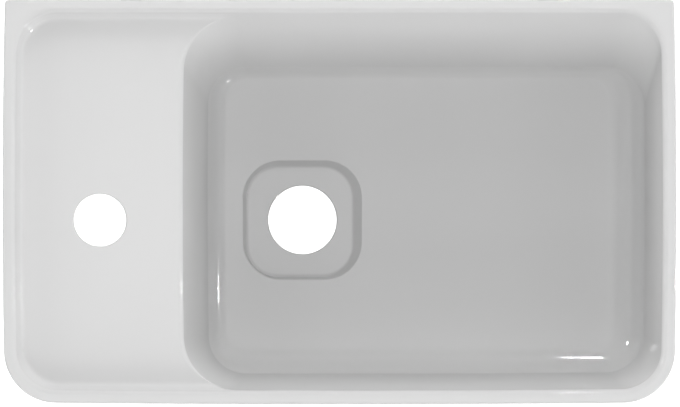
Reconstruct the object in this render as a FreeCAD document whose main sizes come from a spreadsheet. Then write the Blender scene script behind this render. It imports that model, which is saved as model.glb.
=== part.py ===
import FreeCAD, Part
import math
import os

import Sketcher

# Cloakroom basin with a tap ledge at the left, hung on two hanger bolts.
# Frame: +Z up, X along the wall, the wall plane is Y = 0 and the basin stands out towards -Y.
# The origin is on the wall, midway between the two hanger bolts, at their height.

Vector = FreeCAD.Vector

# Two heights closer than this count as one
SNAP = 1e-4

doc = FreeCAD.newDocument("CloakroomBasin")
sheet = doc.addObject("Spreadsheet::Sheet", "Sizes")

SIZES = {
    # Outside of the casting
    "basin_width": 450.0,
    "basin_projection": 270.0,
    "basin_height": 135.0,
    "rim_above_bolts": 85.0,
    "front_corner_radius": 35.0,
    "back_edge_round": 2.5,
    "side_bow_radius": 5500.0,
    "front_bow_radius": 18000.0,
    "widest_from_wall": 133.0,
    "skirt_draft_run": 9.0,
    "skirt_corner_radius": 30.0,
    "skirt_bottom_round": 6.0,
    # Rim and the throat inside it, from which the ledge and the bowl go down
    "rim_width": 7.6,
    "rim_outer_round": 1.3,
    "rim_inner_round": 4.0,
    "rim_corner_radius": 28.0,
    "throat_depth": 3.6,
    "throat_run": 1.6,
    "throat_corner_radius": 27.0,
    # Tap ledge
    "ledge_depth": 9.0,
    "ledge_wall_run": 3.4,
    "ledge_corner_radius": 24.0,
    "ledge_foot_round": 4.5,
    "ledge_thickness": 12.0,
    "tap_hole_diameter": 35.0,
    "tap_hole_from_left": 65.0,
    "hole_round": 1.0,
    # Bowl
    "bowl_depth": 94.0,
    "bowl_wall": 10.0,
    "lip_from_left": 119.7,
    "lip_corner_radius": 36.0,
    "lip_round": 4.0,
    "bowl_left_run": 18.5,
    "bowl_right_run": 13.6,
    "bowl_back_run": 36.7,
    "bowl_front_run": 12.4,
    "floor_left_corner_radius": 24.0,
    "floor_right_corner_radius": 26.0,
    "foot_round_left": 12.5,
    "foot_round_right": 24.0,
    "foot_round_back": 9.0,
    "foot_round_front": 18.0,
    # Waste recess
    "waste_from_left": 200.0,
    "waste_from_wall": 147.0,
    "waste_hole_diameter": 46.0,
    "recess_size": 80.0,
    "recess_corner_radius": 25.0,
    "recess_depth": 7.0,
    "recess_left_run": 2.5,
    "recess_right_run": 6.0,
    "recess_back_run": 4.0,
    "recess_front_run": 2.0,
    "recess_floor_corner_radius": 21.0,
    "recess_foot_round": 2.5,
    "recess_thickness": 12.0,
    "recess_edge_round": 1.0,
    "floor_fall": 2.5,
    "fall_corner_radius": 12.0,
    # Hollow under the ledge and behind the bowl, open below
    "skirt_wall": 9.0,
    "back_panel": 10.0,
    "hollow_back_corner_radius": 8.0,
    "hollow_front_corner_radius": 20.0,
    "hollow_round": 5.0,
    "bowl_underside_round": 16.0,
    "boss_underside_round": 4.0,
    # Wall fixings
    "bolt_spacing": 280.0,
    "bolt_diameter": 10.0,
    "bolt_end_chamfer": 1.0,
    "bolt_in_wall": 62.0,
    "bolt_past_nut": 4.0,
    "screw_diameter": 8.6,
    "screw_tip_length": 9.0,
    "screw_tip_diameter": 2.0,
    "plug_diameter": 14.0,
    "plug_length": 70.0,
    "plug_end_taper": 1.5,
    "plug_slot_width": 1.6,
    "plug_slot_length": 34.0,
    "bush_diameter": 15.0,
    "bush_flange_diameter": 26.0,
    "bush_flange_thickness": 2.5,
    "washer_diameter": 24.0,
    "washer_thickness": 2.0,
    "nut_across_flats": 17.0,
    "nut_height": 8.0,
    "nut_chamfer": 1.0,
    # Room left round every round piece that lies inside another
    "round_clearance": 0.3,
    # One overrun serves every cut
    "overrun": 5.0,
}

for row, (alias, number) in enumerate(SIZES.items(), start=1):
    sheet.set(f"A{row}", alias)
    sheet.set(f"B{row}", str(number))
    sheet.setAlias(f"B{row}", alias)
doc.recompute()


class Length:
    """A size of the model: the expression that binds it to the sheet, and its value in millimetres."""

    def __init__(self, text, value):
        self.text = text
        self.value = value

    def __add__(self, other):
        return Length(f"({self.text} + {other.text})", self.value + other.value)

    def __sub__(self, other):
        return Length(f"({self.text} - {other.text})", self.value - other.value)

    def __neg__(self):
        return Length(f"(0 - {self.text})", -self.value)

    def __mul__(self, factor):
        return Length(f"({self.text} * {factor})", self.value * factor)

    def __truediv__(self, divisor):
        return Length(f"({self.text} / {divisor})", self.value / divisor)


def size(alias):
    """The sheet's own value under this name."""
    return Length(f"Sizes.{alias}", float(sheet.get(alias)))


def bind(item, path, length):
    """Ties one property of an object to the sheet."""
    item.setExpression(path, length.text)


# Heights, measured from the bolts

rim_top = size("rim_above_bolts")
basin_bottom = rim_top - size("basin_height")
throat_bottom = rim_top - size("throat_depth")
ledge_top = rim_top - size("ledge_depth")
ledge_underside = ledge_top - size("ledge_thickness")
bowl_floor = rim_top - size("bowl_depth")
bowl_underside = bowl_floor - size("bowl_wall")
recess_rim = bowl_floor - size("floor_fall")
recess_floor = recess_rim - size("recess_depth")
recess_underside = recess_floor - size("recess_thickness")

zero = Length("0", 0.0)
half_width = size("basin_width") / 2
projection = size("basin_projection")
overrun = size("overrun")
clearance = size("round_clearance")


class Outline:
    """A rounded rectangle seen from above, with a straight back and gently bowed sides and front.

    left and right are measured from the middle, back and front from the wall.
    """

    def __init__(self, left, right, back, front, radii):
        self.left = left
        self.right = right
        self.back = back
        self.front = front
        self.radii = radii

    def inset(self, left, right, back, front, radii):
        """The outline drawn in by the four distances, with its own corner radii."""
        return Outline(self.left - left, self.right - right, self.back + back, self.front - front, radii)


def corner_at_back(side_centre, side_bow, back, radius, side):
    """Centre of a corner circle that touches the straight back and a bowed side from inside."""
    down = -back - radius.value
    reach = math.sqrt((side_bow.value - radius.value) ** 2 - (down - side_centre.y) ** 2)
    return Vector(side_centre.x + side * reach, down, 0)


def corner_at_front(side_centre, side_bow, front_centre, front_bow, radius):
    """Centre of a corner circle that touches a bowed side and the bowed front from inside."""
    to_side = side_bow.value - radius.value
    to_front = front_bow.value - radius.value
    between = front_centre - side_centre
    gap = between.Length
    along = (gap**2 + to_side**2 - to_front**2) / (2 * gap)
    across = math.sqrt(to_side**2 - along**2)
    unit = between / gap
    normal = Vector(-unit.y, unit.x, 0)
    first = side_centre + unit * along + normal * across
    second = side_centre + unit * along - normal * across
    candidates = sorted((first, second), key=lambda point: point.y)
    return candidates[0]


def arc_between(centre, radius, start, end):
    """Arc that turns anticlockwise about its centre from one point to another."""
    first = math.atan2(start.y - centre.y, start.x - centre.x)
    last = math.atan2(end.y - centre.y, end.x - centre.x)
    if last < first:
        last += 2 * math.pi
    return Part.ArcOfCircle(Part.Circle(centre, Vector(0, 0, 1), radius), first, last)


def touch(outer_centre, outer_radius, inner_centre):
    """Point where a small circle touches a large one from inside."""
    towards = inner_centre - outer_centre
    return outer_centre + towards / towards.Length * outer_radius


def end_of_side(side_centre, side_radius, back, side):
    """Point where a bowed side meets the straight back with a square corner."""
    reach = math.sqrt(side_radius**2 - (back + side_centre.y) ** 2)
    return Vector(side_centre.x + side * reach, -back, 0)


def outline_sketch(name, outline, height):
    """Sketch of an outline on a level plane, constrained by the sizes of the sheet.

    The outline's radii are those of its back left, back right, front left and front right corners.
    None for the two at the back leaves them square.
    """
    sketch = doc.addObject("Sketcher::SketchObject", name)
    bind(sketch, "Placement.Base.z", height)
    side_bow = size("side_bow_radius")
    front_bow = size("front_bow_radius")
    widest = size("widest_from_wall")
    back = outline.back.value
    left_centre = Vector(side_bow.value - outline.left.value, -widest.value, 0)
    right_centre = Vector(outline.right.value - side_bow.value, -widest.value, 0)
    front_centre = Vector(0, front_bow.value - outline.front.value, 0)
    corners = dict(zip(("back_left", "back_right", "front_left", "front_right"), outline.radii))
    square = corners["back_left"] is None

    low_left = corner_at_front(left_centre, side_bow, front_centre, front_bow, corners["front_left"])
    low_right = corner_at_front(right_centre, side_bow, front_centre, front_bow, corners["front_right"])
    left_low = touch(left_centre, side_bow.value, low_left)
    right_low = touch(right_centre, side_bow.value, low_right)
    front_start = touch(front_centre, front_bow.value, low_left)
    front_end = touch(front_centre, front_bow.value, low_right)
    if square:
        top_left = left_high = end_of_side(left_centre, side_bow.value, back, -1)
        top_right = right_high = end_of_side(right_centre, side_bow.value, back, 1)
    else:
        high_left = corner_at_back(left_centre, side_bow, back, corners["back_left"], -1)
        high_right = corner_at_back(right_centre, side_bow, back, corners["back_right"], 1)
        top_left = high_left + Vector(0, corners["back_left"].value, 0)
        top_right = high_right + Vector(0, corners["back_right"].value, 0)
        left_high = touch(left_centre, side_bow.value, high_left)
        right_high = touch(right_centre, side_bow.value, high_right)

    pieces = {"back": Part.LineSegment(top_right, top_left)}
    if not square:
        pieces["back_left"] = arc_between(high_left, corners["back_left"].value, top_left, left_high)
    pieces["left"] = arc_between(left_centre, side_bow.value, left_high, left_low)
    pieces["front_left"] = arc_between(low_left, corners["front_left"].value, left_low, front_start)
    pieces["front"] = arc_between(front_centre, front_bow.value, front_start, front_end)
    pieces["front_right"] = arc_between(low_right, corners["front_right"].value, front_end, right_low)
    pieces["right"] = arc_between(right_centre, side_bow.value, right_low, right_high)
    if not square:
        pieces["back_right"] = arc_between(high_right, corners["back_right"].value, right_high, top_right)
    sketch.addGeometry(list(pieces.values()), False)

    names = list(pieces)
    number = {piece: place for place, piece in enumerate(names)}
    for first, second in zip(names, names[1:] + names[:1]):
        join = "Tangent" if first in corners or second in corners else "Coincident"
        sketch.addConstraint(Sketcher.Constraint(join, number[first], 2, number[second], 1))
    sketch.addConstraint(Sketcher.Constraint("Horizontal", number["back"]))
    sketch.addConstraint(Sketcher.Constraint("PointOnObject", number["front"], 3, -2))
    measured = [(f"{corner}_radius", ("Radius", number[corner]), corners[corner])
                for corner in corners if corner in number]
    measured += [
        ("left_bow", ("Radius", number["left"]), side_bow),
        ("right_bow", ("Radius", number["right"]), side_bow),
        ("front_bow", ("Radius", number["front"]), front_bow),
        ("back_line", ("DistanceY", number["back"], 1, -1, 1), outline.back),
        ("left_widest", ("DistanceY", number["left"], 3, -1, 1), widest),
        ("right_widest", ("DistanceY", number["right"], 3, -1, 1), widest),
        ("left_reach", ("DistanceX", -1, 1, number["left"], 3), side_bow - outline.left),
        ("right_reach", ("DistanceX", number["right"], 3, -1, 1), side_bow - outline.right),
        ("front_reach", ("DistanceY", -1, 1, number["front"], 3), front_bow - outline.front),
    ]
    for label, arguments, length in measured:
        constraint = sketch.addConstraint(Sketcher.Constraint(*arguments, length.value))
        sketch.renameConstraint(constraint, label)
        bind(sketch, f"Constraints.{label}", length)
    return sketch


def loft(name, sketches):
    """Solid ruled between outlines at different heights."""
    solid = doc.addObject("Part::Loft", name)
    solid.Sections = sketches
    solid.Solid = True
    solid.Ruled = True
    doc.recompute()
    return solid


def cut(name, base, tool):
    """One solid less another, which has to take something away."""
    result = doc.addObject("Part::Cut", name)
    result.Base = base
    result.Tool = tool
    doc.recompute()
    if result.Shape.isNull() or result.Shape.Volume >= base.Shape.Volume * (1 - SNAP * SNAP):
        raise RuntimeError(f"{name} cuts nothing")
    return result


def rounded(name, base, edges):
    """Rounds edges of a solid. edges holds (number, radius at its start, radius at its end)."""
    result = doc.addObject("Part::Fillet", name)
    result.Base = base
    result.Edges = edges
    doc.recompute()
    return result


def level_edges(shape, height):
    """Numbers of the edges that lie at one height."""
    numbers = []
    for number, edge in enumerate(shape.Edges, start=1):
        box = edge.BoundBox
        if abs(box.ZMin - height.value) < SNAP and abs(box.ZMax - height.value) < SNAP:
            numbers.append(number)
    return numbers


def round_level(name, base, height, radius, keep=None):
    """Rounds the edges of a solid that lie at one height, or those of them that keep accepts."""
    edges = []
    for number in level_edges(base.Shape, height):
        if keep is None or keep(base.Shape.Edges[number - 1]):
            edges.append((number, radius.value, radius.value))
    return rounded(name, base, edges)


def round_foot(name, base, sketch, height, radii):
    """Rounds the lower edges of a bowl-shaped tool, with its own radius on each side.

    The radius changes along each corner from that of one side to that of the next.
    """
    back, left, front, right = [radius.value for radius in radii]
    ends = [(back, back), (back, left), (left, left), (left, front),
            (front, front), (front, right), (right, right), (right, back)]
    edges = []
    for number in level_edges(base.Shape, height):
        edge = base.Shape.Edges[number - 1]
        place = min(
            range(len(ends)),
            key=lambda side: sketch.Shape.Edges[side].CenterOfMass.distanceToPoint(edge.CenterOfMass),
        )
        start_radius, end_radius = ends[place]
        start = sketch.Shape.Edges[place].firstVertex(True).Point
        to_first = edge.firstVertex(True).Point.distanceToPoint(start)
        to_last = edge.lastVertex(True).Point.distanceToPoint(start)
        if to_first > to_last:
            start_radius, end_radius = end_radius, start_radius
        edges.append((number, start_radius, end_radius))
    return rounded(name, base, edges)


def along_wall(run, depth, part):
    """How far a wall that runs inwards by run over depth has come after part of that depth."""
    return Length(f"({run.text} * {part.text} / {depth.text})", run.value * part.value / depth.value)


# Outer shell of the casting

square = None
draft = size("skirt_draft_run")
front_corner = size("front_corner_radius")
skirt_corner = size("skirt_corner_radius")
rim_radii = [square, square, front_corner, front_corner]
rim_outline = Outline(half_width, half_width, zero, projection, rim_radii)
bottom_outline = rim_outline.inset(draft, draft, zero, draft, [square, square, skirt_corner, skirt_corner])


def past_wall(outline):
    """The outline with its back drawn past the wall plane, where the flat back is cut."""
    return outline.inset(zero, zero, -overrun, zero, outline.radii)


shell = loft(
    "Shell",
    [
        outline_sketch("RimOutline", past_wall(rim_outline), rim_top),
        outline_sketch("BottomOutline", past_wall(bottom_outline), basin_bottom),
    ],
)
shell = round_level(
    "ShellBottomRound", shell, basin_bottom, size("skirt_bottom_round"),
    keep=lambda edge: edge.CenterOfMass.y < -SNAP,
)
wall_side = doc.addObject("Part::Box", "WallSide")
bind(wall_side, "Length", size("basin_width") + overrun * 2)
bind(wall_side, "Width", overrun * 2)
bind(wall_side, "Height", size("basin_height") + overrun * 2)
bind(wall_side, "Placement.Base.x", -half_width - overrun)
bind(wall_side, "Placement.Base.z", basin_bottom - overrun)
doc.recompute()
shell = cut("FlatBack", shell, wall_side)
back_round = size("back_edge_round").value
back_edges = [
    (number, back_round, back_round)
    for number, edge in enumerate(shell.Shape.Edges, start=1)
    if edge.BoundBox.YMin > -SNAP and edge.BoundBox.ZMin < rim_top.value - SNAP
]
shell = rounded("ShellBackRound", shell, back_edges)
shell = round_level("RimOuterRound", shell, rim_top, size("rim_outer_round"))


# Throat: the rounded inner edge of the rim

rim_width = size("rim_width")
throat_run = size("throat_run")
rim_corners = [size("rim_corner_radius")] * 4
throat_corners = [size("throat_corner_radius")] * 4
flare = along_wall(throat_run, size("throat_depth"), overrun)
flared = rim_width - flare
throat_inset = rim_width + throat_run
throat_outline = rim_outline.inset(throat_inset, throat_inset, throat_inset, throat_inset, throat_corners)
throat_above = rim_outline.inset(flared, flared, flared, flared, rim_corners)
throat = loft(
    "ThroatTool",
    [
        outline_sketch("ThroatAbove", throat_above, rim_top + overrun),
        outline_sketch("ThroatBottom", throat_outline, throat_bottom),
    ],
)
casting = cut("ThroatCut", shell, throat)


def inside_rim(edge):
    """Whether an edge lies inside the middle line of the rim."""
    margin = rim_width.value / 2
    box = edge.BoundBox
    inside_across = box.XMin > margin - half_width.value and box.XMax < half_width.value - margin
    inside_along = box.YMin > margin - projection.value and box.YMax < -margin
    return inside_across and inside_along


casting = round_level("RimInnerRound", casting, rim_top, size("rim_inner_round"), inside_rim)


# Tap ledge

ledge_run = size("ledge_wall_run")
ledge_corners = [size("ledge_corner_radius")] * 4
ledge_outline = throat_outline.inset(ledge_run, ledge_run, ledge_run, ledge_run, ledge_corners)
ledge_tool = loft(
    "LedgeTool",
    [
        outline_sketch("LedgeOpening", throat_outline, throat_bottom),
        outline_sketch("LedgeFoot", ledge_outline, ledge_top),
    ],
)
ledge_tool = round_level("LedgeFootRound", ledge_tool, ledge_top, size("ledge_foot_round"))
casting = cut("LedgeCut", casting, ledge_tool)


# Bowl, with the lip over which the ledge rolls down into it

lip_left = half_width - size("lip_from_left")
lip_corner = size("lip_corner_radius")
throat_corner = size("throat_corner_radius")
bowl_height = size("bowl_depth") - size("throat_depth")
left_wall_angle = math.atan(size("bowl_left_run").value / (size("bowl_depth") - size("ledge_depth")).value)
lip_turn = math.pi / 2 - left_wall_angle
LIP_STEPS = 5


def bowl_section(left, depth_in_throat, left_corner, right_corner):
    """The bowl's outline at a depth below the throat, with its left side where it is told."""
    return Outline(
        left,
        throat_outline.right - along_wall(size("bowl_right_run"), bowl_height, depth_in_throat),
        throat_outline.back + along_wall(size("bowl_back_run"), bowl_height, depth_in_throat),
        throat_outline.front - along_wall(size("bowl_front_run"), bowl_height, depth_in_throat),
        [left_corner, right_corner, left_corner, right_corner],
    )


def lip_section(step):
    """Outline and depth of one step of the lip, from level at step 0 to the slope of the left wall."""
    turned = lip_turn * step / LIP_STEPS
    outwards = size("lip_round") * (math.tan(lip_turn / 2) - math.sin(turned))
    drop = size("lip_round") * (1 - math.cos(turned))
    depth_in_throat = size("ledge_depth") - size("throat_depth") + drop
    outline = bowl_section(lip_left + outwards, depth_in_throat, lip_corner + outwards, throat_corner)
    return outline, ledge_top - drop


lip_outline, lip_height = lip_section(0)
bowl_opening = bowl_section(lip_outline.left, zero, lip_outline.radii[0], throat_corner)
bowl_sketches = [outline_sketch("BowlOpening", bowl_opening, throat_bottom)]
for step in range(LIP_STEPS + 1):
    lip_outline, lip_height = lip_section(step)
    bowl_sketches.append(outline_sketch(f"Lip{step}", lip_outline, lip_height))
floor_left_corner = size("floor_left_corner_radius")
floor_right_corner = size("floor_right_corner_radius")
foot_left = lip_left - size("bowl_left_run")
bowl_foot = bowl_section(foot_left, bowl_height, floor_left_corner, floor_right_corner)
bowl_sketches.append(outline_sketch("BowlFoot", bowl_foot, bowl_floor))
bowl_tool = loft("BowlTool", bowl_sketches)
bowl_tool = round_foot(
    "BowlFootRound", bowl_tool, bowl_sketches[-1], bowl_floor,
    [size(f"foot_round_{side}") for side in ("back", "left", "front", "right")],
)
casting = cut("BowlCut", casting, bowl_tool)


# Fall of the floor to the waste recess, the recess and the two holes

waste_x = size("waste_from_left") - half_width
waste_y = -size("waste_from_wall")
tap_x = size("tap_hole_from_left") - half_width
half_recess = size("recess_size") / 2
recess_corners = [size("recess_corner_radius")] * 4
recess_top = Outline(
    half_recess - waste_x, half_recess + waste_x,
    size("waste_from_wall") - half_recess, size("waste_from_wall") + half_recess, recess_corners,
)
foot_rounds = [size(f"foot_round_{side}") for side in ("left", "right", "back", "front")]
floor_edge = bowl_foot.inset(*foot_rounds, [size("fall_corner_radius")] * 4)
recess_rim_sketch = outline_sketch("RecessRim", recess_top, recess_rim)
fall = loft("FloorFall", [outline_sketch("FloorEdge", floor_edge, bowl_floor), recess_rim_sketch])
casting = cut("FallCut", casting, fall)
recess_runs = [size(f"recess_{side}_run") for side in ("left", "right", "back", "front")]
recess_foot = recess_top.inset(*recess_runs, [size("recess_floor_corner_radius")] * 4)
recess_foot_sketch = outline_sketch("RecessFoot", recess_foot, recess_floor)
recess_tool = loft("RecessTool", [recess_rim_sketch, recess_foot_sketch])
recess_tool = round_level("RecessFootRound", recess_tool, recess_floor, size("recess_foot_round"))
casting = cut("RecessCut", casting, recess_tool)


def drill(name, base, diameter, foot, height, place):
    """Cuts an upright round hole through a solid."""
    tool = doc.addObject("Part::Cylinder", name + "Tool")
    bind(tool, "Radius", diameter / 2)
    bind(tool, "Height", height)
    for axis, length in zip("xyz", (*place, foot)):
        bind(tool, f"Placement.Base.{axis}", length)
    doc.recompute()
    return cut(name, base, tool)


casting = drill(
    "TapHole", casting, size("tap_hole_diameter"), ledge_underside - overrun,
    size("ledge_thickness") + overrun * 2, (tap_x, waste_y),
)
casting = drill(
    "WasteHole", casting, size("waste_hole_diameter"), recess_underside - overrun,
    size("recess_thickness") + overrun * 2, (waste_x, waste_y),
)


def near(centre_x, centre_y, reach):
    """Test for edges whose middle lies within reach of an upright line."""
    return lambda edge: math.hypot(
        edge.CenterOfMass.x - centre_x.value, edge.CenterOfMass.y - centre_y.value
    ) < reach.value


hole_round = size("hole_round")
at_tap_hole = near(tap_x, waste_y, size("tap_hole_diameter") / 2)
at_waste_hole = near(waste_x, waste_y, size("waste_hole_diameter") / 2)
at_recess = near(waste_x, waste_y, size("recess_size"))
casting = round_level("TapHoleRound", casting, ledge_top, hole_round, at_tap_hole)
casting = round_level("WasteHoleRound", casting, recess_floor, hole_round, at_waste_hole)
casting = round_level("RecessEdgeRound", casting, recess_rim, size("recess_edge_round"), at_recess)


# Hollow of the casting, open below: under the ledge, behind the bowl and under it

wall = size("skirt_wall")
panel = size("back_panel")
hollow_corners = [
    size("hollow_back_corner_radius"), size("hollow_back_corner_radius"),
    size("hollow_front_corner_radius"), size("hollow_front_corner_radius"),
]
shell_height = size("basin_height")


def hollow_outline(depth):
    """Inside of the skirt and of the back panel at a depth below the rim."""
    run = along_wall(draft, shell_height, depth) + wall
    return rim_outline.inset(run, run, panel, run, hollow_corners)


hollow_depth = size("ledge_depth") + size("ledge_thickness")
hollow = loft(
    "Hollow",
    [
        outline_sketch("HollowTop", hollow_outline(hollow_depth), ledge_underside),
        outline_sketch("HollowBottom", hollow_outline(shell_height + overrun), basin_bottom - overrun),
    ],
)
hollow = round_level("HollowRound", hollow, ledge_underside, size("hollow_round"))

bowl_wall = size("bowl_wall")
outside_depth = bowl_height + bowl_wall


def grown(outline):
    """The outline grown by the bowl's wall all round."""
    radii = [radius + bowl_wall for radius in outline.radii]
    return outline.inset(-bowl_wall, -bowl_wall, -bowl_wall, -bowl_wall, radii)


ledge_in_throat = size("ledge_depth") - size("throat_depth")
outside_top = grown(bowl_section(lip_left, ledge_in_throat, lip_corner, throat_corner))
outside_foot = grown(bowl_section(foot_left, outside_depth, floor_left_corner, floor_right_corner))
bowl_shell = loft(
    "BowlOutside",
    [
        outline_sketch("BowlOutsideTop", outside_top, ledge_top),
        outline_sketch("BowlOutsideFoot", outside_foot, bowl_underside),
    ],
)
bowl_shell = round_level("BowlOutsideRound", bowl_shell, bowl_underside, size("bowl_underside_round"))
boss = loft(
    "WasteBoss",
    [
        outline_sketch("BossTop", grown(recess_top), bowl_floor),
        outline_sketch("BossFoot", grown(recess_foot), recess_underside),
    ],
)
boss = round_level("WasteBossRound", boss, recess_underside, size("boss_underside_round"))
hollow = cut("HollowRoundBowl", hollow, bowl_shell)
hollow = cut("HollowRoundBoss", hollow, boss)
casting = cut("HollowCut", casting, hollow)


# Fixing holes through the back panel

SIDES = {"left": -1, "right": 1}
bolt_reach = size("bolt_spacing") / 2
bush_radius = size("bush_diameter") / 2

for side, sign in SIDES.items():
    tool = doc.addObject("Part::Cylinder", f"FixingHole_{side}")
    bind(tool, "Radius", bush_radius + clearance)
    bind(tool, "Height", panel + overrun * 2)
    bind(tool, "Placement.Base.x", bolt_reach * sign)
    bind(tool, "Placement.Base.y", overrun)
    tool.Placement.Rotation = FreeCAD.Rotation(Vector(1, 0, 0), 90)
    doc.recompute()
    casting = cut(f"FixingCut_{side}", casting, tool)

casting.Label = "basin"
nodes = [casting]


# Small parts, each a body of revolution about the bolt's own axis or a pad along it.
# In their profiles x is the distance from that axis and y runs into the wall.


def plane_of(body, role):
    """One of a body's own origin planes."""
    return next(plane for plane in body.Origin.OriginFeatures if plane.Role == role)


def profile(body, name, role, points):
    """Closed polygon on one of a body's planes, each corner tied to the sheet."""
    sketch = body.newObject("Sketcher::SketchObject", name)
    sketch.AttachmentSupport = (plane_of(body, role), [""])
    sketch.MapMode = "FlatFace"
    corners = [Vector(across.value, along.value, 0) for across, along in points]
    sides = [Part.LineSegment(first, second) for first, second in zip(corners, corners[1:] + corners[:1])]
    sketch.addGeometry(sides, False)
    count = len(points)
    for number in range(count):
        sketch.addConstraint(Sketcher.Constraint("Coincident", number, 2, (number + 1) % count, 1))
    for number, (across, along) in enumerate(points):
        for kind, length, axis in (("DistanceX", across, -2), ("DistanceY", along, -1)):
            if length.value == 0:
                sketch.addConstraint(Sketcher.Constraint("PointOnObject", number, 1, axis))
                continue
            ends = (-1, 1, number, 1) if length.value > 0 else (number, 1, -1, 1)
            length = length if length.value > 0 else -length
            constraint = sketch.addConstraint(Sketcher.Constraint(kind, *ends, length.value))
            label = f"{kind.lower()}_{number}"
            sketch.renameConstraint(constraint, label)
            bind(sketch, f"Constraints.{label}", length)
    return sketch


def spun(body, name, points, kind="PartDesign::Revolution"):
    """Turns a profile right round the bolt's axis, adding or, as a groove, cutting."""
    sketch = profile(body, name + "Profile", "XY_Plane", points)
    feature = body.newObject(kind, name)
    feature.Profile = sketch
    feature.ReferenceAxis = (sketch, ["V_Axis"])
    feature.Angle = 360
    doc.recompute()
    return feature


def new_body(part, side):
    """Body for one of the two fixings, moved out to its bolt."""
    body = doc.addObject("PartDesign::Body", f"{part}_{side}")
    bind(body, "Placement.Base.x", bolt_reach * SIDES[side])
    nodes.append(body)
    return body


bolt_radius = size("bolt_diameter") / 2
flange_face = -panel - size("bush_flange_thickness")
washer_face = flange_face - size("washer_thickness")
nut_face = washer_face - size("nut_height")
bolt_end = nut_face - size("bolt_past_nut")


def hanger_bolt(side):
    """Bolt with a wood-screw end in the plug and a machine thread through the basin."""
    chamfer = size("bolt_end_chamfer")
    screw_radius = size("screw_diameter") / 2
    tip_radius = size("screw_tip_diameter") / 2
    tip = size("bolt_in_wall")
    spun(new_body("hanger_bolt", side), "Shank", [
        (zero, bolt_end),
        (bolt_radius - chamfer, bolt_end),
        (bolt_radius, bolt_end + chamfer),
        (bolt_radius, -clearance),
        (screw_radius, -clearance),
        (screw_radius, tip - size("screw_tip_length")),
        (tip_radius, tip),
        (zero, tip),
    ])


def wall_plug(side):
    """Nylon plug in the wall, split crosswise from its far end."""
    body = new_body("wall_plug", side)
    outside = size("plug_diameter") / 2
    bore = size("screw_diameter") / 2 + clearance
    taper = size("plug_end_taper")
    length = size("plug_length")
    spun(body, "Sleeve", [
        (bore, zero),
        (outside, zero),
        (outside, length - taper * 2),
        (outside - taper, length),
        (bore, length),
    ])
    half_slot = size("plug_slot_width") / 2
    reach = outside + clearance
    slot_start = length - size("plug_slot_length")
    slot = profile(body, "SlotProfile", "XY_Plane", [
        (-half_slot, slot_start),
        (half_slot, slot_start),
        (half_slot, length + overrun),
        (-half_slot, length + overrun),
    ])
    pocket = body.newObject("PartDesign::Pocket", "Slot")
    pocket.Profile = slot
    pocket.Midplane = True
    bind(pocket, "Length", reach * 2)
    doc.recompute()
    pattern = body.newObject("PartDesign::PolarPattern", "Slots")
    pattern.Originals = [pocket]
    pattern.Axis = (slot, ["V_Axis"])
    pattern.Angle = 90
    pattern.Occurrences = 2
    body.Tip = pattern
    doc.recompute()


def bush(side):
    """Flanged nylon bush that keeps the bolt and the washer off the glaze."""
    bore = bolt_radius + clearance
    spun(new_body("bush", side), "Bush", [
        (bore, flange_face),
        (size("bush_flange_diameter") / 2, flange_face),
        (size("bush_flange_diameter") / 2, -panel),
        (bush_radius, -panel),
        (bush_radius, -clearance),
        (bore, -clearance),
    ])


def washer(side):
    """Plain steel washer on the bush's flange."""
    bore = bolt_radius + clearance
    spun(new_body("washer", side), "Washer", [
        (bore, washer_face),
        (size("washer_diameter") / 2, washer_face),
        (size("washer_diameter") / 2, flange_face),
        (bore, flange_face),
    ])


def nut(side):
    """Hexagon nut with both faces chamfered, hard on the washer."""
    body = new_body("nut", side)
    corner = size("nut_across_flats") / (2 * math.cos(math.pi / 6))
    turns = [math.pi / 3 * step + math.pi / 6 for step in range(6)]
    hexagon = profile(body, "Hexagon", "XZ_Plane", [
        (corner * round(math.cos(turn), 12), corner * round(math.sin(turn), 12)) for turn in turns
    ])
    bind(hexagon, "AttachmentOffset.Base.z", -washer_face)
    pad = body.newObject("PartDesign::Pad", "Hex")
    pad.Profile = hexagon
    bind(pad, "Length", size("nut_height"))
    doc.recompute()
    bore = bolt_radius + clearance
    spun(body, "Bore", [
        (zero, nut_face - overrun),
        (bore, nut_face - overrun),
        (bore, washer_face + overrun),
        (zero, washer_face + overrun),
    ], "PartDesign::Groove")
    chamfer = size("nut_chamfer")
    flat = size("nut_across_flats") / 2
    for name, face, inwards in (("OuterChamfer", nut_face, 1), ("InnerChamfer", washer_face, -1)):
        spun(body, name, [
            (flat, face),
            (flat + chamfer * 4, face),
            (flat + chamfer * 4, face + chamfer * (2 * inwards)),
        ], "PartDesign::Groove")


for side in SIDES:
    wall_plug(side)
    hanger_bolt(side)
    bush(side)
    washer(side)
    nut(side)


# Tests of the model, then one file for each piece

doc.recompute()
for item in doc.Objects:
    if "Invalid" in item.State or "Error" in item.State:
        raise RuntimeError(f"{item.Label} did not recompute: {item.State}")
os.makedirs("parts", exist_ok=True)
for node in nodes:
    if node.Shape.isNull() or not node.Shape.isValid() or len(node.Shape.Solids) != 1:
        raise RuntimeError(f"{node.Label} is not one sound solid")
    node.Shape.exportStep(os.path.join("parts", node.Label + ".step"))
    print(f"{node.Label}: {node.Shape.Volume / 1000:.2f} cm3, {len(node.Shape.Faces)} faces")
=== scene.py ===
"""Cloakroom basin of glazed china on its two wall fixings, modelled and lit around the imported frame."""
import logging
import math
from dataclasses import dataclass, replace
from enum import Enum
from typing import Callable, Iterable, Sequence

import bmesh
import bpy
import numpy as np
from mathutils import Matrix, Vector


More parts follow.
